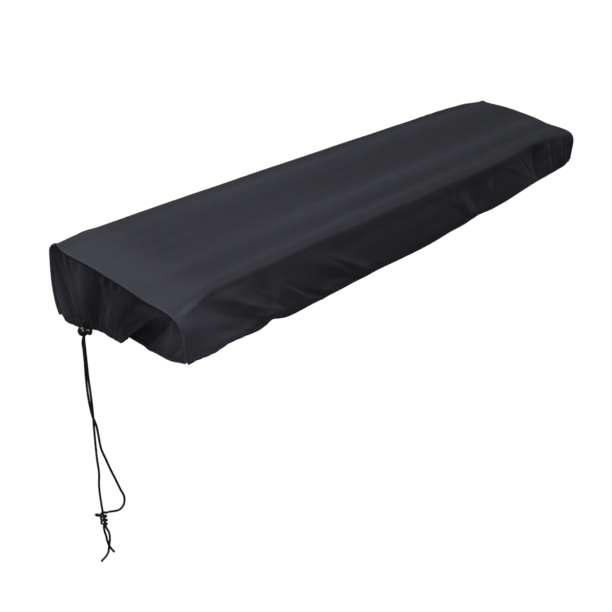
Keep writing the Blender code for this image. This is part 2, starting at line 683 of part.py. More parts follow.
def drawstring(collection):
    """The drawstring's two ends: both leave the hem, pass the lock, cross, and meet at the knot."""
    across = Vector((-math.sin(LOCK_TURN), math.cos(LOCK_TURN), 0.0))
    apart = (CORD + FIT) / 2
    for name, route, side in (("loop_strand", LOOP_STRAND, -1), ("straight_strand", STRAIGHT_STRAND, 1)):
        in_lock = LOCK_PLACE + across * apart * side
        out_of_lock = [in_lock + Vector((0, 0, LOCK_RADIUS)), in_lock - Vector((0, 0, LOCK_RADIUS + 2 * FIT))]
        hem = out_of_lock[0] + TO_HEM + across * HEM_SPREAD * side
        line = np.vstack([[tuple(hem), tuple(out_of_lock[0])], cord_line(route, out_of_lock[1])])
        tube(name, line, CORD / 2, collection, "cord")
    for name, route in (("short_tail", SHORT_TAIL), ("long_tail", LONG_TAIL)):
        tube(name, cord_line(route), CORD / 2, collection, "cord")


def knot_mesh():
    """The knot's body: a spindle with the cord's wraps raised on it as a slanting wave."""
    mesh = bpy.data.meshes.new("knot")
    bm = bmesh.new()
    bmesh.ops.create_uvsphere(bm, u_segments=KNOT_SIDES, v_segments=KNOT_RINGS, radius=1.0)
    half = (KNOT_BOTTOM - KNOT_TOP) / 2
    for vert in bm.verts:
        angle = math.atan2(vert.co.y, vert.co.x)
        polar = math.acos(max(-1.0, min(1.0, vert.co.z)))
        wave = math.cos(KNOT_TURNS * 2 * polar + angle)
        around = math.sin(polar) ** KNOT_BLUNT
        radius = (KNOT_RADIUS + KNOT_RIDGE * wave) * around
        vert.co = Vector((radius * math.cos(angle), radius * math.sin(angle), half * math.cos(polar)))
    bm.to_mesh(mesh)
    bm.free()
    mesh.shade_smooth()
    return mesh


def knot(collection, cutters):
    """Both ends knotted together, with the small bight that stands out at one side."""
    body = add_part("knot", knot_mesh(), collection, "cord")
    body.matrix_world = Matrix.Translation(hang_place(0.0, 0.0, (KNOT_TOP + KNOT_BOTTOM) / 2))
    line = [hang_place(*row[:3]) for row in BIGHT]
    curve = bpy.data.curves.new("bight_line", "CURVE")
    curve.dimensions = "3D"
    spline = curve.splines.new("POLY")
    spline.points.add(len(line) - 1)
    for point, place, row in zip(spline.points, line, BIGHT):
        point.co = (*place, 1.0)
        point.radius = row[3]
    curve.bevel_depth = 1.0
    curve.bevel_resolution = 2
    curve.use_fill_caps = True
    bight = joined("bight", add_part("bight_line", curve, cutters, "cord"), cutters, "cord")
    bight.hide_render = True
    bight.display_type = "WIRE"
    boolean(body, bight, "UNION")


def main():
    """Builds every piece of the cover."""
    clear_scene()
    cover = new_collection("piano_cover")
    cutters = new_collection("cutters", hidden=True)
    main_panel(cover)
    for side, table in (("left", LEFT_END), ("right", RIGHT_END)):
        end_panel(side, table, cover)
        end_piping(side, cover)
    cord_lock(cover, cutters)
    drawstring(cover)
    knot(cover, cutters)


main()
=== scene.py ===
"""Looks for a fitted stretch-cloth cover over a slim digital piano: cloth, welts, drawstring, knot and lock."""

import math

import bpy
import numpy as np
from mathutils import Euler, Matrix, Vector


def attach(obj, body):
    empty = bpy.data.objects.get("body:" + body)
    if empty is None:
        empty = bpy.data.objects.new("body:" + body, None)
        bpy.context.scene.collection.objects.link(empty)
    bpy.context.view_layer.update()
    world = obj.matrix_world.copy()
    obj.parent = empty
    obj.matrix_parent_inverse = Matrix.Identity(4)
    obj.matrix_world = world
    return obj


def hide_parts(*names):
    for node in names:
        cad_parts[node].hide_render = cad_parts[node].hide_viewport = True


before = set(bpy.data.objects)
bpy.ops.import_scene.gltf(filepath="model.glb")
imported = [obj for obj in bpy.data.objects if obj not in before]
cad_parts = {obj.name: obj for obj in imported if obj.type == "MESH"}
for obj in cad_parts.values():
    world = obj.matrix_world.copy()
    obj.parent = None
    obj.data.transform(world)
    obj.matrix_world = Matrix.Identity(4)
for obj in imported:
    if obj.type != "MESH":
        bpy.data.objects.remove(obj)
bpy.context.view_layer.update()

# Camera
# The photograph looks down on the left end from the front. Its place was fitted to the outline of the cover,
# above the level of the hem, and SEAT is how far the origin lies above that level.
SEAT = 0.09027
camera_data = bpy.data.cameras.new("camera")
camera_data.sensor_width = 36.0
camera_data.lens = 53.56
camera = bpy.data.objects.new("camera", camera_data)
camera.location = (-1.4441, -0.9148, 0.5650 - SEAT)
camera.rotation_euler = Euler((math.radians(90 - 23.85), 0, math.radians(-53.12)))
bpy.context.scene.collection.objects.link(camera)
bpy.context.scene.camera = camera
bpy.context.scene.view_settings.view_transform = "Standard"

# Cord lock
# A glossy moulded ball with an upright slot for both cords, and a sprung plunger whose own slot grips them.
# The ball is turned with a blind bore, the plunger slides in it, and both are slotted before they are smoothed.
LOCK_PLACE = np.array([-0.6716, 0.0750, -0.0108 - SEAT])
LOCK_TURN = math.radians(-70.0)
LOCK_RADIUS = 0.0083
CORD = 0.003
CORD_GAP = 0.0033
BORE_RADIUS = 0.0047
BORE_END = -0.0058
BORE_BEVEL = 0.0002
MOUTH_ROUND = 0.0006
PLUNGER_RADIUS = 0.0044
PLUNGER_REAR = -0.0030
PLUNGER_BEVEL = 0.0003
CAP_AT = 0.0097
CAP_RADIUS = 0.0052
CAP_DEPTH = 0.0032
CAP_ROUND = 0.0010
CAP_BEVEL = 0.0002
DISH = 0.0005
DISH_RADIUS = CAP_RADIUS * 0.7
SLOT = (0.0018, 0.00345)
SLOT_SHAPE = 4.0
TRAVEL = 0.0025
SLOT_SIDES = 48
LOCK_SIDES = 72
SHARP_ABOVE = math.radians(38)
BLACK_PLASTIC = (0.013, 0.013, 0.015)


def node(tree, kind, inputs, **settings):
    """Adds a node; each input is a number, a colour or another node's socket."""
    made = tree.nodes.new(kind)
    for key, value in settings.items():
        setattr(made, key, value)
    for key, value in inputs.items():
        if isinstance(value, bpy.types.NodeSocket):
            tree.links.new(value, made.inputs[key])
        else:
            made.inputs[key].default_value = value
    return made


def noise(tree, where, scale, detail):
    """A noise texture's value."""
    return node(tree, "ShaderNodeTexNoise", {"Vector": where, "Scale": scale, "Detail": detail}).outputs["Fac"]


def bump(tree, height, strength, distance):
    """The normal of a surface that a height roughens."""
    return node(tree, "ShaderNodeBump", {"Height": height, "Strength": strength, "Distance": distance}).outputs[0]


def finish(name, **values):
    """A material whose shader has the given numbers on its own sockets."""
    made = bpy.data.materials.new(name)
    made.use_nodes = True
    shader = made.node_tree.nodes["Principled BSDF"]
    for key, value in values.items():
        shader.inputs[key.replace("_", " ")].default_value = value
    return made, made.node_tree, shader


def place_object(name, mesh, material):
    """An object at the origin with its material."""
    obj = bpy.data.objects.new(name, mesh)
    bpy.context.scene.collection.objects.link(obj)
    mesh.materials.clear()
    mesh.materials.append(material)
    return obj


def turned_mesh(name, profile, sides, place):
    """A profile of (along, radius) carried round the X axis: each ring is radius times the cosine and sine of
    the angle, the two ends are poles, and the whole is put in place."""
    along, radius = np.array(profile[1:-1]).T
    angle = np.linspace(0, 2 * np.pi, sides, endpoint=False)
    rings = np.stack(
        np.broadcast_arrays(along[:, None], radius[:, None] * np.cos(angle), radius[:, None] * np.sin(angle)), -1
    ).reshape(-1, 3)
    points = np.vstack([rings, [profile[0][0], 0, 0], [profile[-1][0], 0, 0]])
    index = np.arange(len(rings)).reshape(len(along), sides)
    index = np.hstack([index, index[:, :1]])
    quads = np.stack([index[:-1, :-1], index[1:, :-1], index[1:, 1:], index[:-1, 1:]], -1).reshape(-1, 4)
    first, last = len(rings), len(rings) + 1
    start = [(first, index[0, k], index[0, k + 1]) for k in range(sides)]
    end = [(last, index[-1, k + 1], index[-1, k]) for k in range(sides)]
    mesh = bpy.data.meshes.new(name)
    mesh.from_pydata(points.tolist(), [], quads.tolist() + start + end)
    mesh.transform(place)
    return mesh


def slotted(name, mesh, slot, place, material):
    """The turned mesh with an upright slot through it, whose outline is a rounded oblong: the cosine and sine
    of the angle to a power below 1, times the half sizes."""
    back, front, across = slot
    angle = np.linspace(0, 2 * np.pi, SLOT_SIDES, endpoint=False)
    power = 2 / SLOT_SHAPE
    u = (front + back) / 2 + (front - back) / 2 * np.sign(np.cos(angle)) * np.abs(np.cos(angle)) ** power
    v = across * np.sign(np.sin(angle)) * np.abs(np.sin(angle)) ** power
    rings = [np.stack([u, v, np.full_like(u, z)], -1) for z in (-2 * LOCK_RADIUS, 2 * LOCK_RADIUS)]
    n = len(angle)
    sides = [(k, (k + 1) % n, n + (k + 1) % n, n + k) for k in range(n)]
    cutter_mesh = bpy.data.meshes.new("slot")
    cutter_mesh.from_pydata(np.vstack(rings).tolist(), [], sides + [tuple(range(n))[::-1], tuple(range(n, 2 * n))])
    cutter_mesh.transform(place)
    whole = place_object(name, mesh, material)
    cutter = bpy.data.objects.new("slot", cutter_mesh)
    bpy.context.scene.collection.objects.link(cutter)
    cut = whole.modifiers.new("slot", "BOOLEAN")
    cut.operation = "DIFFERENCE"
    cut.solver = "EXACT"
    cut.object = cutter
    bpy.context.view_layer.update()
    made = bpy.data.meshes.new_from_object(whole.evaluated_get(bpy.context.evaluated_depsgraph_get()))
    whole.modifiers.clear()
    whole.data = made
    bpy.data.objects.remove(cutter)
    made.shade_smooth()
    made.set_sharp_from_angle(angle=SHARP_ABOVE)
    return whole


lock_plastic, tree, shader = finish(
    "lock_plastic_gloss", Base_Color=(*BLACK_PLASTIC, 1), Roughness=0.2, Coat_Weight=0.5, Coat_Roughness=0.08
)
where = node(tree, "ShaderNodeTexCoord", {}).outputs["Object"]
handled = noise(tree, where, 420.0, 4.0)
rubbed = node(tree, "ShaderNodeMapRange", {0: handled, 1: 0.35, 2: 0.7, 3: 0.16, 4: 0.34}).outputs[0]
tree.links.new(rubbed, shader.inputs["Roughness"])
scuff = noise(tree, where, 2600.0, 3.0)
grained = bump(tree, scuff, 0.12, 0.0001)
tree.links.new(grained, shader.inputs["Normal"])

lock_place = Matrix.Translation(Vector(LOCK_PLACE)) @ Matrix.Rotation(LOCK_TURN, 4, "Z")
mouth = math.asin((BORE_RADIUS + MOUTH_ROUND) / LOCK_RADIUS)
lip = [
    (LOCK_RADIUS * math.cos(mouth) - MOUTH_ROUND * (1 - math.sin(a)), BORE_RADIUS + MOUTH_ROUND * (1 - math.cos(a)))
    for a in np.linspace(0, np.pi / 2, 6)[:-1]
]
ball = [(LOCK_RADIUS * math.cos(a), LOCK_RADIUS * math.sin(a)) for a in np.linspace(mouth, np.pi, 44)]
ball_profile = [(BORE_END, 0), (BORE_END, BORE_RADIUS * 0.97), (BORE_END + BORE_BEVEL, BORE_RADIUS), *lip, *ball]
ball_mesh = turned_mesh("lock_ball", ball_profile, LOCK_SIDES, lock_place)
lock_ball = slotted("lock_ball", ball_mesh, (-SLOT[0], SLOT[0], SLOT[1]), lock_place, lock_plastic)

rim = [
    (CAP_AT + CAP_DEPTH - CAP_ROUND * (1 - math.sin(a)), CAP_RADIUS - CAP_ROUND * (1 - math.cos(a)))
    for a in np.linspace(0, np.pi / 2, 8)
]
dish = [
    (CAP_AT + CAP_DEPTH - DISH * math.sin(a) ** 2, DISH_RADIUS * (1 - a / 1.6))
    for a in np.linspace(0.1, 1.5, 8)
]
button_profile = [
    (PLUNGER_REAR, 0),
    (PLUNGER_REAR, PLUNGER_RADIUS - PLUNGER_BEVEL),
    (PLUNGER_REAR + PLUNGER_BEVEL, PLUNGER_RADIUS),
    (CAP_AT, PLUNGER_RADIUS),
    (CAP_AT, CAP_RADIUS - CAP_BEVEL),
    (CAP_AT + CAP_BEVEL, CAP_RADIUS),
    *rim,
    *dish,
    (CAP_AT + CAP_DEPTH - DISH, 0),
]
button_mesh = turned_mesh("lock_plunger", button_profile[::-1], LOCK_SIDES, lock_place)
lock_button = slotted("lock_plunger", button_mesh, (-SLOT[0], SLOT[0] + TRAVEL, SLOT[1]), lock_place, lock_plastic)
for piece, cad_node, body in ((lock_ball, "cord_lock_body", "cover"), (lock_button, "cord_lock_button", "button")):
    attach(piece, body)
    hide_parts(cad_node)

# Knot
# Both ends of the drawstring are tied together: one runs straight down through the knot, the other winds round
# it, and a small bight is left standing out at the left. It is the same braided cord as the strands.
MM = 0.001
HANG_TURN = math.radians(-53.0)
HANG_SIDE = np.array([math.cos(HANG_TURN), math.sin(HANG_TURN), 0.0])
HANG_BACK = np.array([-math.sin(HANG_TURN), math.cos(HANG_TURN), 0.0])
KNOT_CORE = (
    # millimetres: side, behind, below the lock's centre
    (-0.7, 0, 323.8), (-0.5, 0.2, 330), (0.2, 0.2, 338), (1.2, -0.2, 346), (2.6, -1, 354.6),
)
KNOT_WRAP = (
    # millimetres: side, behind, below the lock's centre
    (4.4, 0.2, 326.2), (1.4, 3, 327), (-2.6, 2.6, 328), (-4.2, -0.4, 329.2), (-1.6, -3.4, 330.4), (2.4, -3.4, 331.6),
    (4.4, -0.4, 332.6), (2.6, 3, 333.6), (-1.4, 3.4, 334.6), (-4.4, 1, 335.8), (-3.8, -2.2, 337), (-0.6, -3.8, 338.2),
    (3, -3.2, 339.4), (4.6, -0.2, 340.4), (2.6, 3, 341.4), (-1.2, 3.4, 342.4), (-4.4, 1.2, 343.4), (-4, -2.2, 344.4),
    (-0.6, -3.6, 345.4), (3.2, -2.6, 346.4), (4, 0.6, 347.6), (1.6, 2.8, 349.5), (-0.8, 2, 352), (-1.8, 1, 354.4),
)
KNOT_BIGHT = (
    # millimetres: side, behind, below the lock's centre
    (0.2, -1, 330.6), (-4.4, -1.4, 329.6), (-8.8, -1, 328.4), (-11.6, -0.2, 328.8), (-12.4, 0.4, 330.2),
    (-10.8, 0.8, 331.6), (-7, 0.8, 332.2), (-3, 0.8, 333), (0.4, 0.6, 334),
)
KNOT_STEP = 0.0008
LOOSE_CORD = 0.0038
SWELL_OVER = 0.008
NOT_GRIPPED = -1.0
BRAID_STRANDS = 4
BRAID_PITCH = 0.0026
BRAID_RELIEF = 0.06
BRAID_SIDES = 24
BRAID_STEP = 0.0005
ROUNDED_END = ((0.45, 0.35), (0.38, 0.72), (0.2, 0.92))
CORD_BLACK = (0.0060, 0.0060, 0.0075)
CORD_WORN = (0.0150, 0.0150, 0.0175)


def hang_place(side, behind, below):
    """A place of the hanging cord, from its distances to the lock's centre in millimetres."""
    return LOCK_PLACE + (HANG_SIDE * side + HANG_BACK * behind - np.array([0, 0, below])) * MM


def eased(x, knots, values):
    """A smooth curve through a table's values: cubic between knots, with the slopes of its neighbours."""
    knots = np.asarray(knots, float)
    values = np.asarray(values, float)
    slopes = np.gradient(values, knots)
    i = np.clip(np.searchsorted(knots, x) - 1, 0, len(knots) - 2)
    span = knots[i + 1] - knots[i]
    t = (x - knots[i]) / span
    start = (1 + 2 * t) * (1 - t) ** 2 * values[i] + t * (1 - t) ** 2 * span * slopes[i]
    return start + t**2 * (3 - 2 * t) * values[i + 1] + t**2 * (t - 1) * span * slopes[i + 1]


def lengths(line):
    """The length along a line at each of its points."""
    return np.concatenate([[0], np.cumsum(np.linalg.norm(np.diff(line, axis=0), axis=1))])


def read_off(at, along, values):
    """Places or directions along a line at the given lengths."""
    return np.stack([np.interp(at, along, values[:, k]) for k in range(3)], axis=-1)


def cord_line(points, step):
    """A smooth curve through the points, read off at even steps."""
    points = np.array(points)
    knots = lengths(points)
    at = np.linspace(0, knots[-1], max(4, round(knots[-1] / step) + 1))
    return np.stack([eased(at, knots, points[:, k]) for k in range(3)], axis=-1)


def resampled(line, step):
    """The line at even steps of its length, and the length at each step."""
    along = lengths(line)
    at = np.linspace(0, along[-1], max(4, round(along[-1] / step) + 1))
    return read_off(at, along, line), at


def frames_along(line):
    """Two side vectors along a line, turned as little as possible."""
    tangent = np.gradient(line, axis=0)
    tangent /= np.linalg.norm(tangent, axis=1, keepdims=True)
    side = np.zeros_like(line)
    start = np.cross(tangent[0], [0.3, 0.5, 0.8])
    side[0] = start / np.linalg.norm(start)
    for k in range(1, len(line)):
        turned = side[k - 1] - tangent[k] * (side[k - 1] @ tangent[k])
        side[k] = turned / np.linalg.norm(turned)
    return tangent, side, np.cross(tangent, side)


def skin(name, grids, material, ring=False):
    """A smooth mesh from grids of points, each with its places on the cloth in metres as a UV map. A ring grid
    closes on itself across, and its first and last rings are filled."""
    points, places, faces, base = [], [], [], 0
    for grid, uv in grids:
        n, m = grid.shape[:2]
        index = base + np.arange(n * m).reshape(n, m)
        round_index = np.hstack([index, index[:, :1]]) if ring else index
        a, b = round_index[:-1], round_index[1:]
        faces += np.stack([a[:, :-1], b[:, :-1], b[:, 1:], a[:, 1:]], -1).reshape(-1, 4).tolist()
        if ring:
            faces += [index[0].tolist(), index[-1][::-1].tolist()]
        points.append(grid.reshape(-1, 3))
        places.append(uv.reshape(-1, 2))
        base += n * m
    mesh = bpy.data.meshes.new(name)
    mesh.from_pydata(np.vstack(points).tolist(), [], faces)
    corners = np.concatenate([np.asarray(face) for face in faces])
    layer = mesh.uv_layers.new(name="cloth")
    layer.data.foreach_set("uv", np.vstack(places)[corners].astype(np.float32).ravel())
    mesh.shade_smooth()
    return place_object(name, mesh, material)


def around(angle, side, up):
    """Directions round a line: the cosine of the angle along one side vector and its sine along the other."""
    return np.cos(angle)[..., None] * side[:, None] + np.sin(angle)[..., None] * up[:, None]


def braid_grid(line, gripped=NOT_GRIPPED):
    """A braided cord swept along a line: the radius is lower between the strands, which wind both ways as the
    cosine of four times the angle plus or minus the turns along the line; both ends are rounded off. It is
    squeezed to the lock's cord size over the gripped length, and swells from there to its loose size."""
    points, at = resampled(line, BRAID_STEP)
    tangent, side, up = frames_along(points)
    a, s = np.meshgrid(np.linspace(0, 2 * np.pi, BRAID_SIDES, endpoint=False), at)
    turns = 2 * np.pi * s / BRAID_PITCH
    lift = np.maximum(np.cos(BRAID_STRANDS * a + turns), np.cos(BRAID_STRANDS * a - turns))
    radius = np.interp(s, (gripped, gripped + SWELL_OVER), (CORD / 2, LOOSE_CORD / 2))
    r = radius * (1 - BRAID_RELIEF + BRAID_RELIEF * lift)
    grid = points[:, None] + r[..., None] * around(a, side, up)
    first = [points[0] - tangent[0] * radius[0, 0] * out + (grid[0] - points[0]) * w for out, w in ROUNDED_END]
    last = [
        points[-1] + tangent[-1] * radius[-1, 0] * out + (grid[-1] - points[-1]) * w for out, w in ROUNDED_END[::-1]
    ]
    grid = np.concatenate([first, grid, last])
    a = np.concatenate([a[:3], a, a[-3:]])
    s = np.concatenate([s[:3], s, s[-3:]])
    return grid, np.stack([a * CORD / 2, s], axis=-1)


def new_group(name, inputs, outputs):
    """A shader node group with its named sockets."""
    made = bpy.data.node_groups.new(name, "ShaderNodeTree")
    for socket, kind in inputs:
        made.interface.new_socket(socket, in_out="INPUT", socket_type=kind)
    for socket, kind in outputs:
        made.interface.new_socket(socket, in_out="OUTPUT", socket_type=kind)
    return made, made.nodes.new("NodeGroupInput"), made.nodes.new("NodeGroupOutput")


def mixed(tree, share, first, second):
    """A colour between two."""
    return node(tree, "ShaderNodeMix", {0: share, 6: first, 7: second}, data_type="RGBA").outputs[2]


mottle, group_in, group_out = new_group(
    "yarn_mottle",
    [
        ("Dark", "NodeSocketColor"),
        ("Light", "NodeSocketColor"),
        ("Scale", "NodeSocketFloat"),
        ("Lint", "NodeSocketColor"),
    ],
    [("Color", "NodeSocketColor")],
)
where = node(mottle, "ShaderNodeTexCoord", {}).outputs["Object"]
cloud = node(
    mottle, "ShaderNodeTexNoise", {"Vector": where, "Scale": group_in.outputs["Scale"], "Detail": 6.0, "Roughness": 0.6}
).outputs["Fac"]
share = node(mottle, "ShaderNodeMapRange", {0: cloud, 1: 0.32, 2: 0.68}).outputs[0]
blend = mixed(mottle, share, group_in.outputs["Dark"], group_in.outputs["Light"])
fluff = noise(mottle, where, 760.0, 2.0)
speck = node(mottle, "ShaderNodeMapRange", {0: fluff, 1: 0.70, 2: 0.80, 3: 0.0, 4: 0.6}).outputs[0]
dusted = mixed(mottle, speck, blend, group_in.outputs["Lint"])
mottle.links.new(dusted, group_out.inputs[0])

cord_yarn, tree, shader = finish("cord_yarn", Roughness=0.72, Sheen_Weight=0.05, Sheen_Roughness=0.4)
yarn = node(tree, "ShaderNodeGroup", {}, node_tree=mottle)
for key, value in (("Dark", CORD_BLACK), ("Light", CORD_WORN), ("Lint", (0.03, 0.03, 0.034))):
    yarn.inputs[key].default_value = (*value, 1)
yarn.inputs["Scale"].default_value = 160.0
tree.links.new(yarn.outputs[0], shader.inputs["Base Color"])
where = node(tree, "ShaderNodeUVMap", {}, uv_map="cloth").outputs[0]
fibre = noise(tree, where, 5200.0, 3.0)
fuzz = bump(tree, fibre, 0.5, 0.00012)
tree.links.new(fuzz, shader.inputs["Normal"])

knot_lines = [
    cord_line([hang_place(*row) for row in route], KNOT_STEP) for route in (KNOT_CORE, KNOT_WRAP, KNOT_BIGHT)
]
knot = skin("tied_knot", [braid_grid(line) for line in knot_lines], cord_yarn, ring=True)
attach(knot, "cover")
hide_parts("knot")

# Drawstring
# The two ends of the braided drawstring leave the hem's casing, pass the lock side by side, cross, and meet
# at the knot, one straight and one in a loop; below the knot their cut ends hang free. All of it shows.
LOOP_STRAND = (
    # millimetres: side, behind, below the lock's centre
    (-2.4, -1, 16), (-2.3, -1.2, 30), (-2.5, -1.2, 50), (-3.4, -1.2, 78), (-3.2, -1.4, 105), (-2, -1.8, 125),
    (0.4, -2, 144), (4.7, -1.4, 162), (6, -0.8, 180), (8, 0, 205), (13.2, 0.8, 224), (18.6, 1.4, 243), (25.8, 2, 265),
    (31.4, 2.6, 283), (35.6, 3, 295), (35.6, 3, 305), (31.6, 2.6, 315.8), (24.2, 2, 322.2), (16, 1.2, 323.6),
    (10.6, 0.6, 324), (4.6, 0.2, 325.8),
)
STRAIGHT_STRAND = (
    # millimetres: side, behind, below the lock's centre
    (-0.4, 1.6, 16), (-0.6, 1.8, 30), (-0.6, 1.8, 50), (-0.6, 1.8, 78), (0.2, 1.8, 105), (0.5, 1.8, 125),
    (0.4, 1.8, 144), (-0.2, 1.6, 164), (-0.6, 1.2, 190), (-0.6, 0.8, 225), (0.2, 0.4, 250), (-1.8, 0.2, 272),
    (-2, 0, 290), (-1.4, 0, 308), (-0.7, 0, 323.7),
)
SHORT_TAIL = (
    # millimetres: side, behind, below the lock's centre
    (-1.8, 1, 354.3), (-1.4, 1.6, 364), (0.2, 2.2, 374), (1, 2.4, 383), (3.4, 2.4, 393), (6.8, 2.2, 400),
    (10.8, 1.8, 405.5),
)
LONG_TAIL = (
    # millimetres: side, behind, below the lock's centre
    (2.6, -1, 354.5), (6, -1.4, 362), (7, -1.8, 372), (6.2, -2.2, 382), (4, -2.4, 392), (2.6, -2.2, 401),
    (-0.8, -1.8, 409), (-6.2, -1.4, 416.5), (-11, -1, 422.2),
)
TO_HEM = np.array([0.0030, 0.0000, 0.0068])
HEM_SPREAD = 0.0006
UNDER_LOCK = 0.0006
STRAND_STEP = 0.003
TAIL_STEP = 0.002
GRIPPED = 0.027
ACROSS = np.array([-math.sin(LOCK_TURN), math.cos(LOCK_TURN), 0.0])


def hanging_cord(name, cad_node, line, gripped=NOT_GRIPPED):
    """A braided cord along the line, attached to the cover in place of the CAD node, which is hidden."""
    cord = skin(name, [braid_grid(line, gripped)], cord_yarn, ring=True)
    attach(cord, "cover")
    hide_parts(cad_node)


for cad_node, route, side, pieces in (
    ("loop_strand", LOOP_STRAND, -1, (lock_ball, lock_button, knot)),
    ("straight_strand", STRAIGHT_STRAND, 1, ()),
):
    in_lock = LOCK_PLACE + ACROSS * side * CORD_GAP / 2
    above = in_lock + np.array([0, 0, LOCK_RADIUS])
    below = in_lock - np.array([0, 0, LOCK_RADIUS + UNDER_LOCK])
    hem_end = above + TO_HEM + ACROSS * HEM_SPREAD * side
    hanging = cord_line([below] + [hang_place(*row) for row in route], STRAND_STEP)
    line = np.vstack([[hem_end, (hem_end + above) / 2, above], hanging])
    hanging_cord(f"{cad_node}_cord", cad_node, line, GRIPPED)
for cad_node, route in (("short_tail", SHORT_TAIL), ("long_tail", LONG_TAIL)):
    line = cord_line([hang_place(*row) for row in route], TAIL_STEP)
    hanging_cord(f"{cad_node}_cord", cad_node, line)

# Main panel
# One piece of black polyester and elastane knit from the back hem over the top and down the front, cut straight
# and pulled over the keyboard, so it lies in long bands, strains over the front ridge and creases to the hem.
HALF_LENGTH = 0.669
PATH = (
    # millimetres: middle y, middle height, end y, end height
    (113, -6, 117, -2),
    (131, -8.5, 128, -6.6),
    (137.5, 12, 133.8, 14),
    (139.2, 50, 136, 52),
    (138, 95, 133.8, 90),
    (134, 113.5, 129.2, 107),
    (121, 119.2, 115, 114.2),
    (100, 113, 101, 107.2),
    (56, 102, 56, 100.2),
    (5, 92.5, 5, 90),
    (-32, 85.5, -32, 81.5),
    (-60, 77, -60, 73.5),
    (-85, 74, -88, 69),
    (-103.5, 69.5, -111, 63),
    (-113.5, 51, -124.5, 53),
    (-124, 26.5, -131, 37),
    (-133.5, 2, -133, 14),
    (-135.5, -12.5, -133, -2),
    (-121, -15, -121, 0),
)
BACK_HEM_ROW, BACK_EDGE_ROW, KEYS_ROW, RIDGE_ROW, FACE_ROW, HEM_ROW = 1, 5.5, 9.5, 13, 15, 17
ROW_REACH = 1.4
KEYS_REACH = 2.5
LENGTHWISE = (
    # millimetres but for the share: x, end section's share, ridge forward, face out, hem up, edge down, keys up
    (-669, 1, 0, 0, -2.4, -1.6, 0),
    (-652, 0.86, 0, 0, -0.4, -1.8, 0),
    (-632, 0.5, 0, 0, 2, -1, 0),
    (-610, 0.12, 0, 0, 6, 0.6, 0),
    (-590, 0, -1, 0, 9.5, 2, 0),
    (-555, 0, -2, 0, 8, 1.8, 0),
    (-515, 0, -2, 1, 5.2, 1.4, 0),
    (-503, 0, -2, 0, 6, 1.3, 0),
    (-487, 0, -2, -3, 10.5, 1.2, 0),
    (-458, 0, -2, 1, 4, 1, 0),
    (-380, 0, -3, 1, 1, 0.6, 0),
    (-290, 0, -2, -1, -0.6, 0.4, 0),
    (-190, 0, 0, 2, -1, 0.3, 0),
    (-100, 0, 1, 2, -4.6, 0.4, 0),
    (-20, 0, 3, 3, -6, 0.6, 0),
    (70, 0, 5, 2, -3.4, 0.4, 0),
    (125, 0, 8, 2, -3.5, 0.4, 0),
    (172, 0, 10, -3, 1.4, 0.6, 0),
    (220, 0, 11, 1, -2.8, 0.8, 0),
    (290, 0, 12, 1, -3.6, 1.2, 0),
    (400, 0, 6, -2, 1.2, 1.4, 0),
    (470, 0, 1, -8, 4, 1.6, 0.4),
    (530, 0.05, 2, -4, 4.6, 2, 1.2),
    (580, 0.25, 5, 2, 3.4, 2.4, 1.6),
    (630, 0.65, 6, 1, -0.4, 4.6, 2.2),
    (669, 1, 6, 0, 0, 6.2, 2.2),
)
BACK_HEM_WAVES = (
    # wave length, height, phase
    (0.300, 0.0025, 0.6),
    (0.134, 0.0015, 0.0),
)
DRAWN_IN = {
    "left": {0: 0.018, 1: 0.0065, 2: 0.0015, 17: 0.002, 18: 0.014},
    "right": {0: 0.034, 1: 0.018, 2: 0.008, 15: 0.003, 16: 0.012, 17: 0.021, 18: 0.036},
}
DRAW_REACH = 0.070
ROW_PITCH = 0.022
FADE = 0.22
SOFT, PULLED = 0, 1
CREASE_EDGE = 1.65
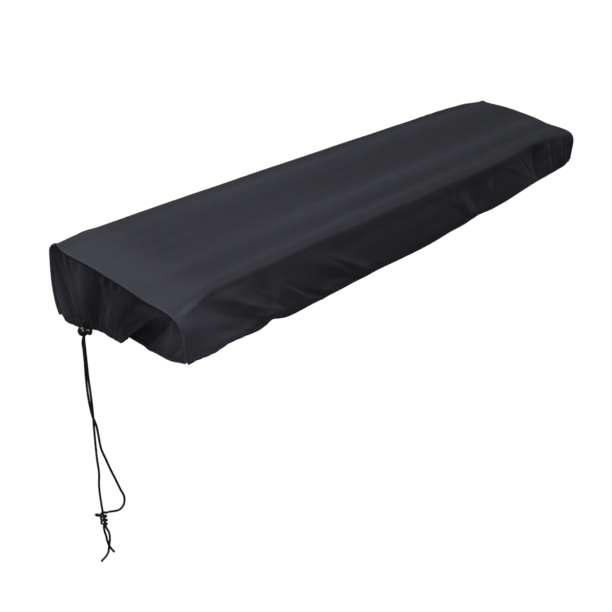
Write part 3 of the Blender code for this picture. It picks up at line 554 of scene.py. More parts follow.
FOLDS = (
    # x, row, to x, to row, half width, height, in millimetres but for the rows: a soft fold, or a pulled crease
    (-605, 13.8, -494, 16.6, 13, -3.5, SOFT),
    (-570, 13.7, -484, 16.4, 12, 3, SOFT),
    (-450, 14.2, -476, 16.7, 12, 2.5, SOFT),
    (-370, 14.2, -235, 16.2, 14, 3.5, SOFT),
    (-345, 15.2, -262, 16.4, 12, -3, SOFT),
    (112, 14.8, 168, 16.8, 14, 2.8, SOFT),
    (240, 14.6, 178, 16.8, 14, 2.8, SOFT),
    (500, 13.9, 472, 16.4, 16, -4.5, SOFT),
    (548, 13.8, 528, 16.5, 12, 4, SOFT),
    (600, 13.9, 596, 16.2, 11, 3, SOFT),
    (420, 7.3, 560, 6.1, 16, -2.2, SOFT),
    (-150, 3.6, -90, 0.8, 18, -4, SOFT),
    (300, 3.2, 330, 0.8, 18, 4, SOFT),
    (-480, 3.4, -500, 0.8, 18, 4, SOFT),
    # strained creases that fan from the left ridge corner to the notch in the hem
    (-600, 13.6, -459, 16.4, 5, 0.9, PULLED),
    (-585, 14.3, -480, 16.5, 4.5, 0.9, PULLED),
    (-560, 14.2, -500, 15.5, 4, 0.7, PULLED),
    (-548, 15.2, -492, 16.5, 5, -1.4, PULLED),
    (-525, 15.5, -488, 16.6, 3.5, 1.2, SOFT),
    (-600, 15.4, -548, 16.1, 8, -1.6, SOFT),
    (-545, 16.1, -505, 15.7, 6, 1.4, SOFT),
    (-500, 14.4, -455, 15.8, 4, 0.6, PULLED),
    # the second and third groups along the front
    (-434, 14.9, -352, 16.9, 5.5, -1.4, PULLED),
    (-372, 15.8, -328, 16.5, 3.5, 1.2, SOFT),
    (-330, 15.9, -286, 16.4, 3.2, 1.2, SOFT),
    (-405, 15.8, -345, 16.8, 7, -1.4, SOFT),
    (-318, 14.5, -232, 16.3, 5, 1.2, PULLED),
    (-300, 15.2, -262, 16.2, 4, -0.7, PULLED),
    (-205, 15.9, -160, 16.5, 5, 0.6, SOFT),
    # small ones on the rest of the front, and the gathers of the far corner
    (75, 14.6, 150, 16.6, 6, 0.6, PULLED),
    (262, 14.4, 205, 16.4, 6, -0.6, PULLED),
    (330, 14.2, 430, 16, 6, 0.8, PULLED),
    (415, 13.9, 470, 16.2, 5.5, 1, PULLED),
    (520, 13.8, 495, 16.6, 5, -1.2, PULLED),
    (568, 14, 556, 16.6, 5, 1.2, PULLED),
    (622, 14.2, 616, 16.4, 4.5, 1, PULLED),
    # wrinkles on the back edge towards the far end, and slack at the back
    (372, 5.6, 420, 7.6, 6, 0.9, PULLED),
    (410, 5.4, 452, 7.9, 5.5, -1, PULLED),
    (450, 5.6, 478, 7.4, 5, 0.8, PULLED),
    (505, 5.8, 560, 7.2, 6, 0.7, PULLED),
    (-620, 5.4, -560, 7.2, 7, 0.5, PULLED),
    (-380, 4.2, -420, 1.6, 8, 1.2, PULLED),
    (60, 4, 20, 1.6, 8, -1.2, PULLED),
    (480, 4.1, 540, 1.6, 8, 1.4, PULLED),
)
CREASE_RELIEF = 1.4
MAIN_SLACK = ((9, 0.45, 0.04, 0.00036), (9, 0.12, 0.06, 0.0001), (12, 0.03, 0.03, 0.00005))
MAIN_SEED = 7
CREST_PAST_RIDGE, CREST_LEFT, CREST_WIDTH = 0.05, 0.32, 0.26
PUFF = 0.0005
GATHER = 0.00026
LEAST_GATHER = 0.00004
# How much the main panel pales: partly strained knit, partly painted light on the lit left of the top, a painted
# highlight on the ridge and its left corner, and on the left of the front.
STRAIN_AND_LIGHT = {"left top": 0.42, "top": 0.16, "ridge": 0.36, "ridge corner": 0.90, "left front": 1.00, "front": 0.22}
RIDGE_LINE = (
    # millimetres: x, height of the strained line over the front edge of the keys
    (-669, 0), (-655, 1.4), (-600, 1.6), (-300, 1.1), (0, 0.7), (400, 0.7), (620, 0.3), (669, 0),
)
BANDS = (
    # row, half width in rows, height in millimetres: the lengthwise bands of the strained top
    (6.2, 0.35, 0.5), (7.5, 0.45, 0.6), (9.1, 0.55, -0.7), (10.4, 0.45, 0.8), (11.2, 0.35, -0.7), (12.2, 0.45, 0.6),
)
PALE_AND_LIT_BANDS = (
    # row, half width in rows, strain: paler bands on the top, partly where it is stretched and partly painted light on
    # the lit bands
    (7, 0.6, 0.46), (9.95, 0.6, 0.44), (11.9, 0.45, 0.22),
)
CASING_ROWS = (1.62, 16.42)
CASING_DEPTH = 0.0007
CASING_WIDTH = 0.0016
MAIN_STEPS = (340, 136)
CLOTH = 0.0010
CLOTH_DARK = (0.0214, 0.0219, 0.0274)
CLOTH_LIGHT = (0.0252, 0.0258, 0.0320)
# The pale colour that strained knit mixes to, which also serves as painted light.
CLOTH_STRAINED_AND_LIT = (0.0600, 0.0613, 0.0766)
CLOTH_LINT = (0.0900, 0.0900, 0.1000)


def smooth(t):
    """Eases from 0 to 1."""
    t = np.clip(t, 0.0, 1.0)
    return t * t * (3 - 2 * t)


def row_weights(at, rows):
    """A uniform cubic B-spline's weights over the table's rows."""
    at = np.asarray(at, float)
    first = np.clip(np.floor(at), 0, rows - 2).astype(int)
    f = at - first
    shares = ((1 - f) ** 3, 3 * f**3 - 6 * f**2 + 4, -3 * f**3 + 3 * f**2 + 3 * f + 1, f**3)
    padded = np.zeros((len(at), rows + 2))
    for step, part in enumerate(shares):
        padded[np.arange(len(at)), first + step] += part / 6
    weights = padded[:, 1:-1].copy()
    weights[:, 0] += 2 * padded[:, 0]
    weights[:, 1] -= padded[:, 0]
    weights[:, -1] += 2 * padded[:, -1]
    weights[:, -2] -= padded[:, -1]
    return weights


def bell(at, middle, reach=ROW_REACH):
    """A bell curve: 1 in the middle, fading over its reach on both sides."""
    return np.exp(-(((at - middle) / reach) ** 2))


def main_surface(x, row):
    """The main panel's outer face: at each x a B-spline through PATH's rows, blended from the middle section
    to the end seam, with the ridge, face and hem moved as LENGTHWISE says, and each end drawn in at the hem."""
    path = np.array(PATH) * MM
    table = np.array(LENGTHWISE) * (MM, 1, MM, MM, MM, MM, MM)
    columns = (eased(x, table[:, 0], table[:, k]) for k in range(1, table.shape[1]))
    part, ridge_out, face_out, hem_up, back_down, keys_up = columns
    part = np.clip(part, 0.0, 1.0)
    rows = np.arange(len(path))
    y = np.outer(1 - part, path[:, 0]) + np.outer(part, path[:, 2])
    z = np.outer(1 - part, path[:, 1]) + np.outer(part, path[:, 3])
    y -= np.outer(ridge_out, bell(rows, RIDGE_ROW))
    y -= np.outer(face_out, bell(rows, FACE_ROW))
    z += np.outer(hem_up, bell(rows, HEM_ROW))
    z -= np.outer(back_down, bell(rows, BACK_EDGE_ROW))
    z += np.outer(keys_up, bell(rows, KEYS_ROW, KEYS_REACH))
    wave = sum(height * np.sin(2 * np.pi * x / length + phase) for length, height, phase in BACK_HEM_WAVES)
    z += np.outer(wave * (1 - part), bell(rows, BACK_HEM_ROW))
    pull = np.zeros_like(y)
    for side, sign in (("left", 1), ("right", -1)):
        near = smooth(1 - (x * sign + HALF_LENGTH) / DRAW_REACH)
        drawn = np.array([DRAWN_IN[side].get(r, 0.0) for r in rows])
        pull += sign * np.outer(near, drawn)
    weights = row_weights(row, len(path)) @ np.linalg.inv(row_weights(rows, len(path)))
    return np.stack([x[:, None] + pull @ weights.T, y @ weights.T, z @ weights.T - SEAT], axis=-1)


def normals_of(points):
    """Unit normals of a grid of points."""
    across = np.cross(np.gradient(points, axis=0), np.gradient(points, axis=1))
    return across / np.maximum(np.linalg.norm(across, axis=-1, keepdims=True), 1e-12)


def fold_heights(u, v, folds):
    """How far folds stand out of a panel at places u and v in metres: a bell across each line, or that bell
    times the distance for a pulled crease, faded at both ends of the line."""
    height = np.zeros(np.broadcast(u, v).shape)
    for u0, v0, u1, v1, half_width, top, kind in folds:
        du, dv = u1 - u0, v1 - v0
        length = math.hypot(du, dv)
        t = ((u - u0) * du + (v - v0) * dv) / length**2
        off = ((u - u0) * dv - (v - v0) * du) / length / half_width
        fade = smooth((t + FADE) / (2 * FADE)) * smooth((1 + FADE - t) / (2 * FADE))
        hump = bell(off, 0, 1)
        height += top * fade * (hump if kind == SOFT else CREASE_EDGE * off * hump)
    return height


def slack(u, v, waves, seed):
    """Faint slack in the cloth: a sum of sine waves whose lengths and directions are drawn once from a seed.
    Each row of waves gives the number, the length along u, the length along v and the height."""
    draw = np.random.default_rng(seed)
    height = np.zeros(np.broadcast(u, v).shape)
    for count, long_u, long_v, top in waves:
        for _ in range(count):
            ku, kv = draw.normal(0, 1 / long_u), draw.normal(0, 1 / long_v)
            height += top / math.sqrt(count) * np.sin(2 * np.pi * (ku * u + kv * v) + draw.uniform(0, 2 * np.pi))
    return height


def even_steps(fine, weight, count):
    """Places along a fine line of places that share out its weight evenly."""
    total = np.concatenate([[0], np.cumsum((weight[1:] + weight[:-1]) / 2)])
    return np.interp(np.linspace(0, total[-1], count + 1), total, fine)


def cloth_sheet(name, cad_node, grid, uv, strain_and_painted_light, material):
    """A sheet of cloth from its outer face, with how much it pales at each point, from strain and from painted light,
    thickened on the inside.
    """
    sheet = skin(name, [(grid, uv)], material)
    strained_and_lit = sheet.data.attributes.new("strain_and_painted_light", "FLOAT", "POINT")
    strained_and_lit.data.foreach_set("value", np.clip(strain_and_painted_light, 0, 1).astype(np.float32).ravel())
    thick = sheet.modifiers.new("thickness", "SOLIDIFY")
    thick.thickness = CLOTH
    thick.offset = -1.0
    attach(sheet, "cover")
    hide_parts(cad_node)
    return sheet


def maths(tree, operation, *values):
    """A number worked out from others in the shader."""
    return node(tree, "ShaderNodeMath", dict(enumerate(values)), operation=operation).outputs[0]


knit, group_in, group_out = new_group("knit", [("Scale", "NodeSocketFloat")], [("Height", "NodeSocketFloat")])
where = node(knit, "ShaderNodeUVMap", {}, uv_map="cloth").outputs[0]
stitches = node(knit, "ShaderNodeVectorMath", {0: where, 3: group_in.outputs[0]}, operation="SCALE").outputs[0]
split = node(knit, "ShaderNodeSeparateXYZ", {0: stitches})
turns = maths(knit, "MULTIPLY", split.outputs[0], 2 * math.pi)
wale = maths(knit, "SINE", turns)
slant = maths(knit, "MULTIPLY_ADD", wale, 0.18, split.outputs[1])
turns = maths(knit, "MULTIPLY", slant, 2 * math.pi)
course = maths(knit, "SINE", turns)
loops = maths(knit, "MULTIPLY_ADD", wale, 0.6, course)
knit.links.new(loops, group_out.inputs[0])


def knit_cloth(name, dark, light, strained_and_lit, sheen):
    """Black stretch knit: mottled yarn that pales where it is strained and where light is painted on, a fine knit,
    small lumps and a sheen.
    """
    made, tree, shader = finish(
        name, Sheen_Weight=sheen, Sheen_Roughness=0.5, Sheen_Tint=(0.80, 0.84, 1.0, 1), Specular_IOR_Level=0.22
    )
    yarn = node(tree, "ShaderNodeGroup", {}, node_tree=mottle)
    for key, value in (("Dark", dark), ("Light", light), ("Lint", CLOTH_LINT)):
        yarn.inputs[key].default_value = (*value, 1)
    yarn.inputs["Scale"].default_value = 22.0
    strain_and_painted_light = node(tree, "ShaderNodeAttribute", {}, attribute_name="strain_and_painted_light").outputs["Fac"]
    pale = mixed(tree, strain_and_painted_light, yarn.outputs[0], (*strained_and_lit, 1))
    tree.links.new(pale, shader.inputs["Base Color"])
    where = node(tree, "ShaderNodeTexCoord", {}).outputs["Object"]
    worn = noise(tree, where, 34.0, 5.0)
    matt = node(tree, "ShaderNodeMapRange", {0: worn, 1: 0.3, 2: 0.7, 3: 0.72, 4: 0.88}).outputs[0]
    tree.links.new(matt, shader.inputs["Roughness"])
    lumps = noise(tree, where, 150.0, 4.0)
    coarse = bump(tree, lumps, 0.22, 0.0006)
    loops = node(tree, "ShaderNodeGroup", {}, node_tree=knit)
    loops.inputs[0].default_value = 1400.0
    fine = node(
        tree, "ShaderNodeBump", {"Height": loops.outputs[0], "Strength": 0.4, "Distance": 0.00012, "Normal": coarse}
    ).outputs[0]
    tree.links.new(fine, shader.inputs["Normal"])
    return made


stretch_cloth = knit_cloth("stretch_cloth", CLOTH_DARK, CLOTH_LIGHT, CLOTH_STRAINED_AND_LIT, 0.10)

fine_x = np.linspace(-HALF_LENGTH, HALF_LENGTH, 2001)
crowded = 1 + 0.9 * smooth((-0.14 - fine_x) / 0.10) + 0.7 * smooth((fine_x - 0.30) / 0.10)
main_x = even_steps(fine_x, crowded, MAIN_STEPS[0])
fine_row = np.linspace(0, len(PATH) - 1, 1801)
fine_line = main_surface(np.array([0.0]), fine_row)[0]
pace = np.linalg.norm(np.gradient(fine_line, axis=0), axis=1)
crowded = 1 + 0.7 * smooth((fine_row - 12.2) / 0.6) + 0.5 * bell(fine_row, 6.5, 1.2)
main_row = even_steps(fine_row, pace * crowded, MAIN_STEPS[1])
down = np.interp(main_row, fine_row, np.cumsum(pace))
x, row = main_x[:, None], main_row[None, :]
in_metres = [
    (a * MM, b * ROW_PITCH, c * MM, d * ROW_PITCH, wide * MM, top * MM, kind) for a, b, c, d, wide, top, kind in FOLDS
]
height = CREASE_RELIEF * fold_heights(x, row * ROW_PITCH, in_metres)
crest = RIDGE_ROW + CREST_PAST_RIDGE + CREST_LEFT * smooth((-0.57 - x) / 0.06)
height += eased(main_x, *np.array(RIDGE_LINE).T * MM)[:, None] * bell(row, crest, CREST_WIDTH)
level = 1 - smooth((np.abs(main_x) - 0.56) / 0.08)
for middle, half, top in BANDS:
    height += top * MM * level[:, None] * bell(row, middle, half)
height += slack(x, down[None, :], MAIN_SLACK, MAIN_SEED)
for casing_row in CASING_ROWS:
    off = (down - np.interp(casing_row, main_row, down)) * (1 if casing_row > 9 else -1)
    groove = bell(off, 0, CASING_WIDTH)
    puffed = smooth(off / 0.004) * smooth((0.020 - off) / 0.008)
    ends = smooth((np.abs(main_x) - 0.50) / 0.14) + 0.7 * bell(main_x, -0.49, 0.03)
    gather = (LEAST_GATHER + GATHER * ends) * np.sin(2 * np.pi * main_x / 0.0185 + 3 * np.sin(main_x * 19))
    height += -CASING_DEPTH * groove[None, :] + puffed[None, :] * (PUFF + gather[:, None])
    height += gather[:, None] * bell(off, -0.006, 0.008)[None, :] * 0.7
main_points = main_surface(main_x, main_row)
main_points -= normals_of(main_points) * height[..., None]
main_uv = np.stack(np.broadcast_arrays(x, down[None, :]), axis=-1)
# Paler tone on the main panel, partly strain and partly painted light: the left of the top, a painted highlight along
# the ridge and its left corner, and the left of the front.
on_top = smooth((row - 5.6) / 0.8) * smooth((13.1 - row) / 0.7)
strain_and_painted_light = STRAIN_AND_LIGHT["left top"] * smooth((-0.55 - x) / 0.08) * on_top + STRAIN_AND_LIGHT["top"] * smooth((-0.02 - x) / 0.4) * on_top
strain_and_painted_light = strain_and_painted_light + STRAIN_AND_LIGHT["ridge"] * bell(row, 13.05, 0.24) * (0.3 + 0.7 * smooth((0.1 - x) / 0.4))
strain_and_painted_light = strain_and_painted_light + STRAIN_AND_LIGHT["ridge corner"] * np.exp(-(((x + 0.640) / 0.040) ** 2) - ((row - 13.3) / 0.32) ** 2)
on_front = smooth((row - 13.2) / 0.5)
strain_and_painted_light = strain_and_painted_light + on_front * (STRAIN_AND_LIGHT["left front"] * bell(x, -0.67, 0.090))
strain_and_painted_light = strain_and_painted_light + on_front * STRAIN_AND_LIGHT["front"] * smooth((-0.38 - x) / 0.16)
pale_band_spread = (0.4 + 0.6 * smooth((x + 0.5) / 0.3)) * smooth((x + 0.63) / 0.10)
# Lengthwise pale bands on the top: painted light on the lit bands, with some strain.
for middle, half, top in PALE_AND_LIT_BANDS:
    strain_and_painted_light = strain_and_painted_light + top * pale_band_spread * bell(row, middle, half)
main_cloth = cloth_sheet(
    "main_cloth", "main_panel", main_points[:, ::-1], main_uv[:, ::-1], strain_and_painted_light[:, ::-1], stretch_cloth
)

# End panels
# The same knit closes each end, drawn with a much darker base colour than the main panel: painted shade, with a little
# of it unstretched knit.
# It hangs in soft folds from the puckered seam and is gathered by the drawstring in its casing, with one deep pleat at
# the front of the left end.
SEAM_ROWS = (1.35, 16.65)
SEAM_INSET = 0.0018
LEFT_END = (
    # seam share, and in millimetres hem y, hem height, hem inset, fold out at mid height
    (0, 124.5, -7.8, 3.5, 0),
    (0.04, 122.5, -9.8, 4, 0),
    (0.09, 119.5, -12.8, 5, 0),
    (0.13, 115, -14.4, 6.2, 1.5),
    (0.2, 107, -14.5, 7.2, -1),
    (0.265, 99, -15.2, 7.5, -1.5),
    (0.32, 90, -15, 6.6, 2),
    (0.37, 81, -12, 6, 6),
    (0.42, 70, -10, 7, 6),
    (0.46, 58, -10, 8.2, 3),
    (0.5, 47.5, -8.4, 8, -1.5),
    (0.55, 36, -8.4, 6.2, 0),
    (0.6, 24, -9.4, 3, 4.5),
    (0.65, 12, -8.6, 1, 4.5),
    (0.7, 2, -8, -1.5, 2.5),
    (0.74, -7, -6.4, -4, 1),
    (0.757, -11.5, -4.4, -3.8, 2.4),
    (0.769, -15.2, 0.4, -1.2, 1.6),
    (0.78, -18.2, 0, 4.2, -1.6),
    (0.791, -20.8, -6, 9.6, -5),
    (0.803, -25, -11.6, 13, -7.4),
    (0.818, -33, -15.2, 14.2, -7.2),
    (0.834, -42, -15.6, 13, -6),
    (0.85, -56, -11.8, 10.5, -3.5),
    (0.868, -72, -10, 8, -1),
    (0.888, -87, -12, 5.5, 1),
    (0.912, -103, -9.6, 4, 1),
    (0.94, -116, -7.2, 3, 0.5),
    (0.97, -123, -5.4, 2.2, 0.2),
    (1, -128, -4.6, 1.8, 0),
)
RIGHT_END = (
    # seam share, and in millimetres hem y, hem height, hem inset, fold out at mid height
    (0, 126.5, 0, 15.5, 0),
    (0.04, 123.5, 0, 16, 0),
    (0.09, 119, -1.5, 17.5, 0.5),
    (0.15, 110, -5.5, 18.5, 2),
    (0.24, 98, -6, 18, -3),
    (0.31, 83, -3, 19, -5),
    (0.37, 68, -1.5, 16.5, 3.5),
    (0.43, 51, -4, 15.5, 5),
    (0.49, 33, -5, 17, -3),
    (0.55, 16, -2, 17.5, -4.5),
    (0.61, -1, -3, 15.5, 3),
    (0.67, -18, -5.5, 15, 4.5),
    (0.72, -35, -4.5, 16.5, -2),
    (0.77, -51, -1, 17.5, -4.5),
    (0.81, -67, -2, 16, 2),
    (0.85, -83, -4.5, 16.5, 3),
    (0.89, -98, -3, 18, 0),
    (0.925, -111, -2, 19, 0),
    (0.965, -121, -0.8, 18.5, 0),
    (1, -127, -0.8, 17.8, 0),
)
HEM_LIP = 0.008
LIP_RISE = 0.0015
LEAST_LIP = 0.2
PLEAT_LIP = 0.4
CORNER_REACH = 0.18
HANG_EASE = 1.3
FOLD_EASE = 1.5
PLEAT_AT = 0.778
PLEAT_REACH = 0.035
PLEAT_SHEAR = (0.780, 0.060, 0.040)
PLEAT_BACK = (0.783, 0.010, 0.0100, 0.0030)
PLEAT_DEEP = (0.812, 0.026, 0.0145)
SAME_PIXEL = (0.75, -0.455)
END_STEPS = (250, 78, 7)
# The end panels' darker base colour is painted shade, a little of it unstretched knit.
SHADED_END_DARK = (0.0080, 0.0082, 0.0104)
SHADED_END_PALE = (0.0098, 0.0100, 0.0126)
END_GIRTH = 0.43
END_DROP = 0.10
END_CASING = 0.885
PUCKER_DROP = 0.016
END_SLACK = ((9, 0.05, 0.12, 0.00035), (12, 0.02, 0.04, 0.00016))
END_SEEDS = {"left": 11, "right": 12}
# A pale line just under each end seam: strained cloth and a painted highlight.
SEAM_STRAIN_AND_LIGHT = 0.20
PUCKERS = {
    # share of the seam, to share, half width and height in millimetres: what the seam's stitching gathers just under it
    "left": (
        (0.3, 0.305, 4, -0.8), (0.328, 0.33, 4.2, 1.3), (0.346, 0.352, 3.6, -1.2), (0.366, 0.366, 4, 1.1),
        (0.392, 0.398, 4, -0.8), (0.416, 0.412, 3.6, 0.7), (0.452, 0.462, 5, -1.3), (0.482, 0.488, 5, -1),
        (0.508, 0.5, 4, -0.6), (0.53, 0.52, 3.6, 1.3), (0.549, 0.549, 3.4, -1.1), (0.57, 0.566, 4, 1.1),
        (0.592, 0.594, 3.6, -0.9), (0.614, 0.61, 3.6, 0.9), (0.64, 0.64, 4, -0.6), (0.7, 0.69, 8, -1.6),
        (0.742, 0.738, 3.6, 0.5), (0.788, 0.772, 5, 1), (0.85, 0.856, 4, 0.6), (0.89, 0.886, 4, -0.6),
        (0.24, 0.24, 4, 0.8), (0.19, 0.196, 5, -0.7),
    ),
    "right": (
        (0.27, 0.276, 4.5, 1.2), (0.3, 0.3, 4, -1), (0.352, 0.35, 4.5, 1.2), (0.4, 0.41, 5, -1.2),
        (0.455, 0.45, 4.5, 1), (0.5, 0.505, 4.5, -1), (0.56, 0.555, 5, 1.2), (0.61, 0.612, 4.5, -1.2),
        (0.66, 0.655, 4.5, 1), (0.72, 0.725, 5, -1.2), (0.775, 0.77, 4.5, 1.2), (0.84, 0.842, 4.5, -0.8),
    ),
}
TAUT_AND_LIT = {
    # share of the seam, reach along it, drop, reach down, strain: where an end panel pales, partly where it is drawn
    # taut and partly painted light
    "left": (
        (0.1, 0.13, 0.4, 0.8, 1), (0.4, 0.05, 0.35, 0.45, 0.62), (0.61, 0.05, 0.25, 0.4, 0.16),
        (0.76, 0.05, 0.14, 0.12, 0.4), (0.94, 0.1, 0.5, 0.9, 0.62),
    ),
    "right": (
        (0.12, 0.13, 0.4, 0.8, 0.5), (0.9, 0.12, 0.5, 0.9, 0.4),
    ),
}
END_FOLDS = {
    # share, drop, to share, to drop, half width and height in millimetres, kind
    "left": (
        (0.268, 0.5, 0.258, 0.98, 19, -0.4, SOFT),
        (0.425, 0.16, 0.424, 0.88, 12, 1.2, SOFT),
        (0.5, 0.1, 0.486, 0.84, 12, -0.7, SOFT),
        (0.585, 0.3, 0.6, 0.86, 14, 0.5, SOFT),
        (0.7, 0.12, 0.69, 0.42, 10, -1.2, SOFT),
        (0.23, 0.72, 0.215, 0.98, 3.5, 1.2, SOFT),
        (0.17, 0.62, 0.15, 0.98, 4.5, 1, PULLED),
        (0.64, 0.6, 0.7, 0.94, 10, 0.5, PULLED),
        (0.88, 0.3, 0.852, 0.92, 9, 0.4, PULLED),
        (0.93, 0.4, 0.905, 0.96, 6, 0.7, PULLED),
        (0.11, 0.2, 0.105, 0.9, 7, 1.2, SOFT),
    ),
    "right": (
        (0.27, 0.3, 0.258, 0.96, 9, -1.6, SOFT),
        (0.43, 0.16, 0.44, 0.9, 11, 1.4, SOFT),
        (0.52, 0.14, 0.505, 0.84, 8, -1.4, PULLED),
        (0.64, 0.3, 0.655, 0.9, 9, 1.2, SOFT),
        (0.78, 0.2, 0.76, 0.92, 8, 1.2, PULLED),
        (0.17, 0.5, 0.15, 0.96, 5, 1.2, PULLED),
    ),
}


def seam_line(side, part, inward):
    """The end seam: the main panel's last section, moved inward from its outer face, at shares of its length."""
    sign = -1 if side == "left" else 1
    rows = np.linspace(0, len(PATH) - 1, 240)
    line = main_surface(np.array([sign * HALF_LENGTH]), rows)[0]
    tangent = np.gradient(line[:, 1:], axis=0)
    tangent /= np.linalg.norm(tangent, axis=1, keepdims=True)
    line[:, 1] -= tangent[:, 1] * inward
    line[:, 2] += tangent[:, 0] * inward
    along = lengths(line)
    first, last = np.interp(SEAM_ROWS, rows, along)
    at = first + np.asarray(part) * (last - first)
    return read_off(at, along, line)


def end_surface(side, table):
    """An end panel's outer face: each column runs from the seam to the hem and turns in at a lip. Folds stand
    out as the sine of the drop to a power. On the left the pleat's columns start further along the seam, and
    the cloth behind its edge is carried back under it."""
    sign = -1 if side == "left" else 1
    columns, drops, lips = END_STEPS
    table = np.array(table) * (1, MM, MM, MM, MM)
    at = np.linspace(0, len(table) - 1, columns + 1)
    part, y, z, inset, fold = (row_weights(at, len(table)) @ table[:, k] for k in range(5))
    start = part.copy()
    turned = 1 - (1 - LEAST_LIP) * (1 - smooth(np.minimum(part, 1 - part) / CORNER_REACH))
    behind, deep = np.zeros_like(part), np.zeros_like(part)
    if side == "left":
        turned *= 1 - (1 - PLEAT_LIP) * bell(part, PLEAT_AT, PLEAT_REACH)
        middle, reach, shear = PLEAT_SHEAR
        start += shear * bell(part, middle, reach)
        behind = bell(part, PLEAT_BACK[0], PLEAT_BACK[1])
        deep = PLEAT_DEEP[2] * bell(part, PLEAT_DEEP[0], PLEAT_DEEP[1])
    seam = seam_line(side, np.clip(start, 0, 1), SEAM_INSET)
    hem = np.stack([sign * (HALF_LENGTH - inset), y, z - SEAT], axis=-1)
    t = np.linspace(0, 1, drops + 1)[None, :, None]
    points = seam[:, None] * (1 - t) + hem[:, None] * t
    ease = t[..., 0] ** HANG_EASE
    points[..., 0] = seam[:, None, 0] * (1 - ease) + hem[:, None, 0] * ease
    points[..., 0] += sign * fold[:, None] * np.sin(np.pi * t[..., 0]) ** FOLD_EASE
    under = behind[:, None] * smooth(t[..., 0] / 0.6)
    points[..., 1] += PLEAT_BACK[2] * under
    points[..., 0] -= sign * (PLEAT_BACK[3] * under + deep[:, None] * smooth(t[..., 0] / 0.55))
    points[..., 1] += SAME_PIXEL[0] * deep[:, None] * t[..., 0]
    points[..., 2] += SAME_PIXEL[1] * deep[:, None] * t[..., 0]
    lip = np.linspace(0, 1, lips + 1)[1:]
    turn = points[:, -1:].repeat(lips, axis=1)
    turn[..., 0] -= sign * HEM_LIP * turned[:, None] * lip
    turn[..., 2] += LIP_RISE * (lip * turned[:, None]) ** 2
    return np.concatenate([points, turn], axis=1), part, np.concatenate([t[0, :, 0], 1 + lip * HEM_LIP / END_DROP])


# The end panels are drawn darker than the main panel as painted shade.
shaded_end_cloth = knit_cloth("shaded_end_cloth", SHADED_END_DARK, SHADED_END_PALE, CLOTH_STRAINED_AND_LIT, 0.10)

end_cloths, end_faces = {}, {}
for side, table in (("left", LEFT_END), ("right", RIGHT_END)):
    sign = -1 if side == "left" else 1
    points, part, drop = end_surface(side, table)
    u, v = part[:, None] * END_GIRTH, drop[None, :] * END_DROP
    puckers = [
        (a * END_GIRTH, 0.0, b * END_GIRTH, PUCKER_DROP, wide * MM, top * MM, SOFT) for a, b, wide, top in PUCKERS[side]
    ]
    folds = [
        (a * END_GIRTH, b * END_DROP, c * END_GIRTH, d * END_DROP, wide * MM, top * MM, kind)
        for a, b, c, d, wide, top, kind in END_FOLDS[side]
    ]
    height = fold_heights(u, v, puckers) + fold_heights(u, v, folds)
    height += slack(u, v, END_SLACK, END_SEEDS[side])
    off = v - END_DROP * END_CASING
    height -= CASING_DEPTH * bell(off, 0, CASING_WIDTH)
    gather = GATHER * np.sin(2 * np.pi * u / 0.0165 + 2.5 * np.sin(u * 31))
    height += smooth(off / 0.003) * smooth((0.0125 - off) / 0.004) * (PUFF + gather)
    height += gather * 0.6 * bell(off, -0.006, 0.007)
    height *= smooth(v / 0.004)
    height *= (smooth(part / 0.03) * smooth((1 - part) / 0.03))[:, None]
    points += normals_of(points) * sign * height[..., None]
    uv = np.stack(np.broadcast_arrays(u, v), axis=-1)
    end_faces[side] = (points, part, drop)
    # Paler just under the seam and in the taut patches: partly strain, partly painted light.
    strain_and_painted_light = SEAM_STRAIN_AND_LIGHT * bell(v, 0, 0.006) + sum(
        top * np.exp(-(((part[:, None] - a) / along) ** 2) - ((drop - t) / down) ** 2)
        for a, along, t, down, top in TAUT_AND_LIT[side]
    )
    order = slice(None, None, -1) if side == "left" else slice(None)
    end_cloths[side] = cloth_sheet(
        f"{side}_end_cloth", f"{side}_end_panel", points[order], uv[order], strain_and_painted_light[order], shaded_end_cloth
    )

# Casing stitches
# A row of polyester lockstitch holds the hem's casing, which the drawstring runs in, all round the cover. Each
# stitch is a short thread sunk a little in the cloth.
STITCH = 0.0026
STITCH_EVERY = 0.0036
STITCH_AIM = 0.0005
THREAD = 0.00024
THREAD_BLACK = (0.018, 0.018, 0.022)
THREAD_DARK = (0.012, 0.012, 0.015)
THREAD_LIGHT = (0.026, 0.026, 0.031)


def stitch_grids(line, normal):
    """Stitches along a line on a surface: a spindle, whose radius is the root of one less its distance squared,
    is set at every step with its length along the line and its back sunk in the cloth."""
    along = lengths(line)
    at = np.arange(STITCH_EVERY, along[-1] - STITCH_EVERY, STITCH_EVERY)
    place, up = (read_off(at, along, values) for values in (line, normal))
    ahead = read_off(at + STITCH_AIM, along, line) - place
    ahead /= np.linalg.norm(ahead, axis=1, keepdims=True)
    up /= np.linalg.norm(up, axis=1, keepdims=True)
    across = np.cross(ahead, up)
    t = np.linspace(-0.96, 0.96, 5)
    angle = np.linspace(0, 2 * np.pi, 6, endpoint=False)
    r = THREAD * np.sqrt(1 - t**2 * 0.9)
    spine = place[:, None] + ahead[:, None] * (t * STITCH / 2)[None, :, None]
    spine += up[:, None] * (THREAD * 0.5 * (1 - t**2))[None, :, None]
    ring = around(angle, across, up)
    grids = spine[:, :, None] + r[None, :, None, None] * ring[:, None]
    uv = np.stack(np.broadcast_arrays(angle[None, :] * THREAD, (t * STITCH)[:, None]), axis=-1)
    return [(grid, uv) for grid in grids]


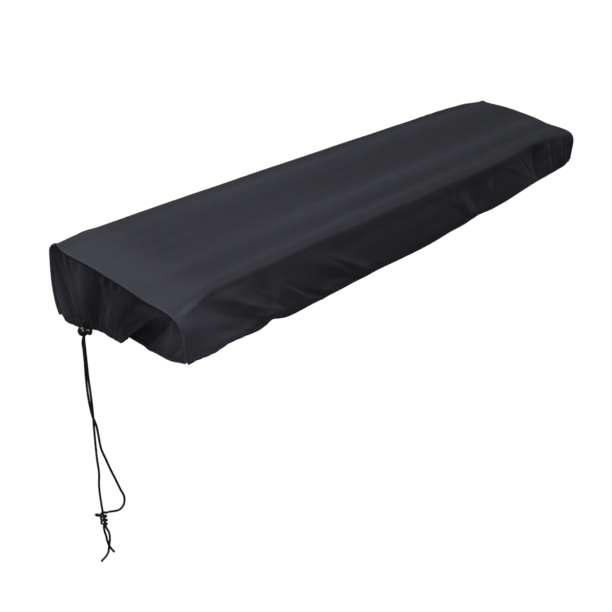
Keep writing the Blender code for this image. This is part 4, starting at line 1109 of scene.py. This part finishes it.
thread, tree, shader = finish("casing_thread", Roughness=0.5, Base_Color=(*THREAD_BLACK, 1), Sheen_Weight=0.05)
where = node(tree, "ShaderNodeTexCoord", {}).outputs["Object"]
ply = noise(tree, where, 3000.0, 2.0)
tint = mixed(tree, ply, (*THREAD_DARK, 1), (*THREAD_LIGHT, 1))
tree.links.new(tint, shader.inputs["Base Color"])
twist = bump(tree, ply, 0.4, 0.0001)
tree.links.new(twist, shader.inputs["Normal"])

grids = []
main_normals = -normals_of(main_points)
for casing_row in CASING_ROWS:
    column = int(np.abs(main_row - casing_row).argmin())
    inner = np.abs(main_x) < HALF_LENGTH - 0.004
    grids += stitch_grids(main_points[inner, column], main_normals[inner, column])
main_stitches = skin("casing_stitches", grids, thread, ring=True)
end_stitches = {}
for side, sign in (("left", -1), ("right", 1)):
    points, part, drop = end_faces[side]
    column = int(np.abs(drop - END_CASING).argmin())
    inner = (part > 0.03) & (part < 0.97)
    grids = stitch_grids(points[inner, column], sign * normals_of(points)[inner, column])
    end_stitches[side] = skin(f"{side}_end_stitches", grids, thread, ring=True)
for piece in (main_stitches, *end_stitches.values()):
    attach(piece, "cover")

# Welts
# A cord wrapped in a bias strip of the same cloth is sewn into each end seam, sunk a little so that no gap shows beside
# it. The strip is drawn much paler than the cloth as a painted highlight, so the seam shows as a thin pale welt. The
# strip is slightly puckered by its stitching.
PIPED = (0.004, 0.996)
PIPING_RADIUS = 0.0018
PIPING_SUNK = 0.0004
WELT_STEP = 0.0009
# The welt's colour is paler than the same cloth elsewhere: a painted highlight.
WELT_HIGHLIGHT_DARK = (0.050, 0.0512, 0.062)
WELT_HIGHLIGHT_PALE = (0.064, 0.0652, 0.080)

welt_painted_highlight = knit_cloth("welt_painted_highlight", WELT_HIGHLIGHT_DARK, WELT_HIGHLIGHT_PALE, CLOTH_STRAINED_AND_LIT, 0.10)
for side, sign in (("left", -1), ("right", 1)):
    line = seam_line(side, np.linspace(*PIPED, 700), 0.0003)
    along = np.gradient(line, axis=0)
    along /= np.linalg.norm(along, axis=1, keepdims=True)
    out = np.array([sign, 0, 0]) - along * along[:, :1] * sign
    line += out / np.linalg.norm(out, axis=1, keepdims=True) * (PIPING_RADIUS - PIPING_SUNK)
    points, at = resampled(line, WELT_STEP)
    tangent, across, up = frames_along(points)
    angle = np.linspace(0, 2 * np.pi, 18, endpoint=False)
    bias = 0.035 * np.sin(2 * np.pi * at[:, None] / 0.0040 + 2 * angle[None, :])
    radius = PIPING_RADIUS * (1 + bias + 0.03 * np.sin(2 * np.pi * at[:, None] / 0.0113))
    tube = points[:, None] + radius[..., None] * around(angle, across, up)
    uv = np.stack(np.broadcast_arrays(angle[None, :] * PIPING_RADIUS, at[:, None]), axis=-1)
    welt = skin(f"{side}_welt", [(tube, uv)], welt_painted_highlight, ring=True)
    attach(welt, "cover")
    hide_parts(f"{side}_piping")

# Studio
# A plain white floor far below the cover that only the camera sees, soft lights above the left end and on the
# front, two weak ones low behind and at the far end, and even light all round as from white walls.
FLOOR_LEVEL = -1.3
FLOOR_REACH = 150
WALLS = 0.05
LIGHTS = (
    # name, place, aim, size, watts
    ("key", (-1.15, 0.55, 1.85), (-0.25, 0.0, 0.0), 1.3, 19.8),
    ("front_left", (-1.9, -1.1, 0.9), (-0.5, -0.1, 0.0), 1.2, 14.4),
    ("overhead", (0.0, 0.0, 2.2), (0.0, 0.0, 0.0), 1.5, 11.5),
    ("high_front", (-1.4, -0.9, 2.0), (-0.3, 0.0, 0.0), 1.2, 4.3),
    ("behind", (-0.9, 2.1, 0.35), (-0.1, 0.13, -0.04), 1.4, 1.6),
    ("far_end", (2.2, -0.2, 0.45), (0.67, 0.0, -0.04), 1.0, 1.0),
)

corners = [(a * FLOOR_REACH, b * FLOOR_REACH, FLOOR_LEVEL) for a, b in ((-1, -1), (1, -1), (1, 1), (-1, 1))]
floor_mesh = bpy.data.meshes.new("floor")
floor_mesh.from_pydata(corners, [], [(0, 1, 2, 3)])
white_paper, tree, shader = finish(
    "white_paper", Base_Color=(0.0, 0.0, 0.0, 1), Roughness=1.0, Emission_Color=(1, 1, 1, 1), Emission_Strength=1.02
)
shader.inputs["Specular IOR Level"].default_value = 0.0
floor = place_object("floor", floor_mesh, white_paper)
floor.visible_diffuse = False
floor.visible_glossy = False
floor.visible_shadow = False

world = bpy.data.worlds.new("studio")
bpy.context.scene.world = world
world.use_nodes = True
world.node_tree.nodes["Background"].inputs[0].default_value = (0.97, 0.98, 1.0, 1)
world.node_tree.nodes["Background"].inputs[1].default_value = WALLS

for name, place, aim, size, watts in LIGHTS:
    data = bpy.data.lights.new(name, "AREA")
    data.shape = "DISK"
    data.size = size
    data.energy = watts
    light = bpy.data.objects.new(name, data)
    bpy.context.scene.collection.objects.link(light)
    light.location = place
    light.rotation_euler = (Vector(aim) - Vector(place)).to_track_quat("-Z", "Y").to_euler()
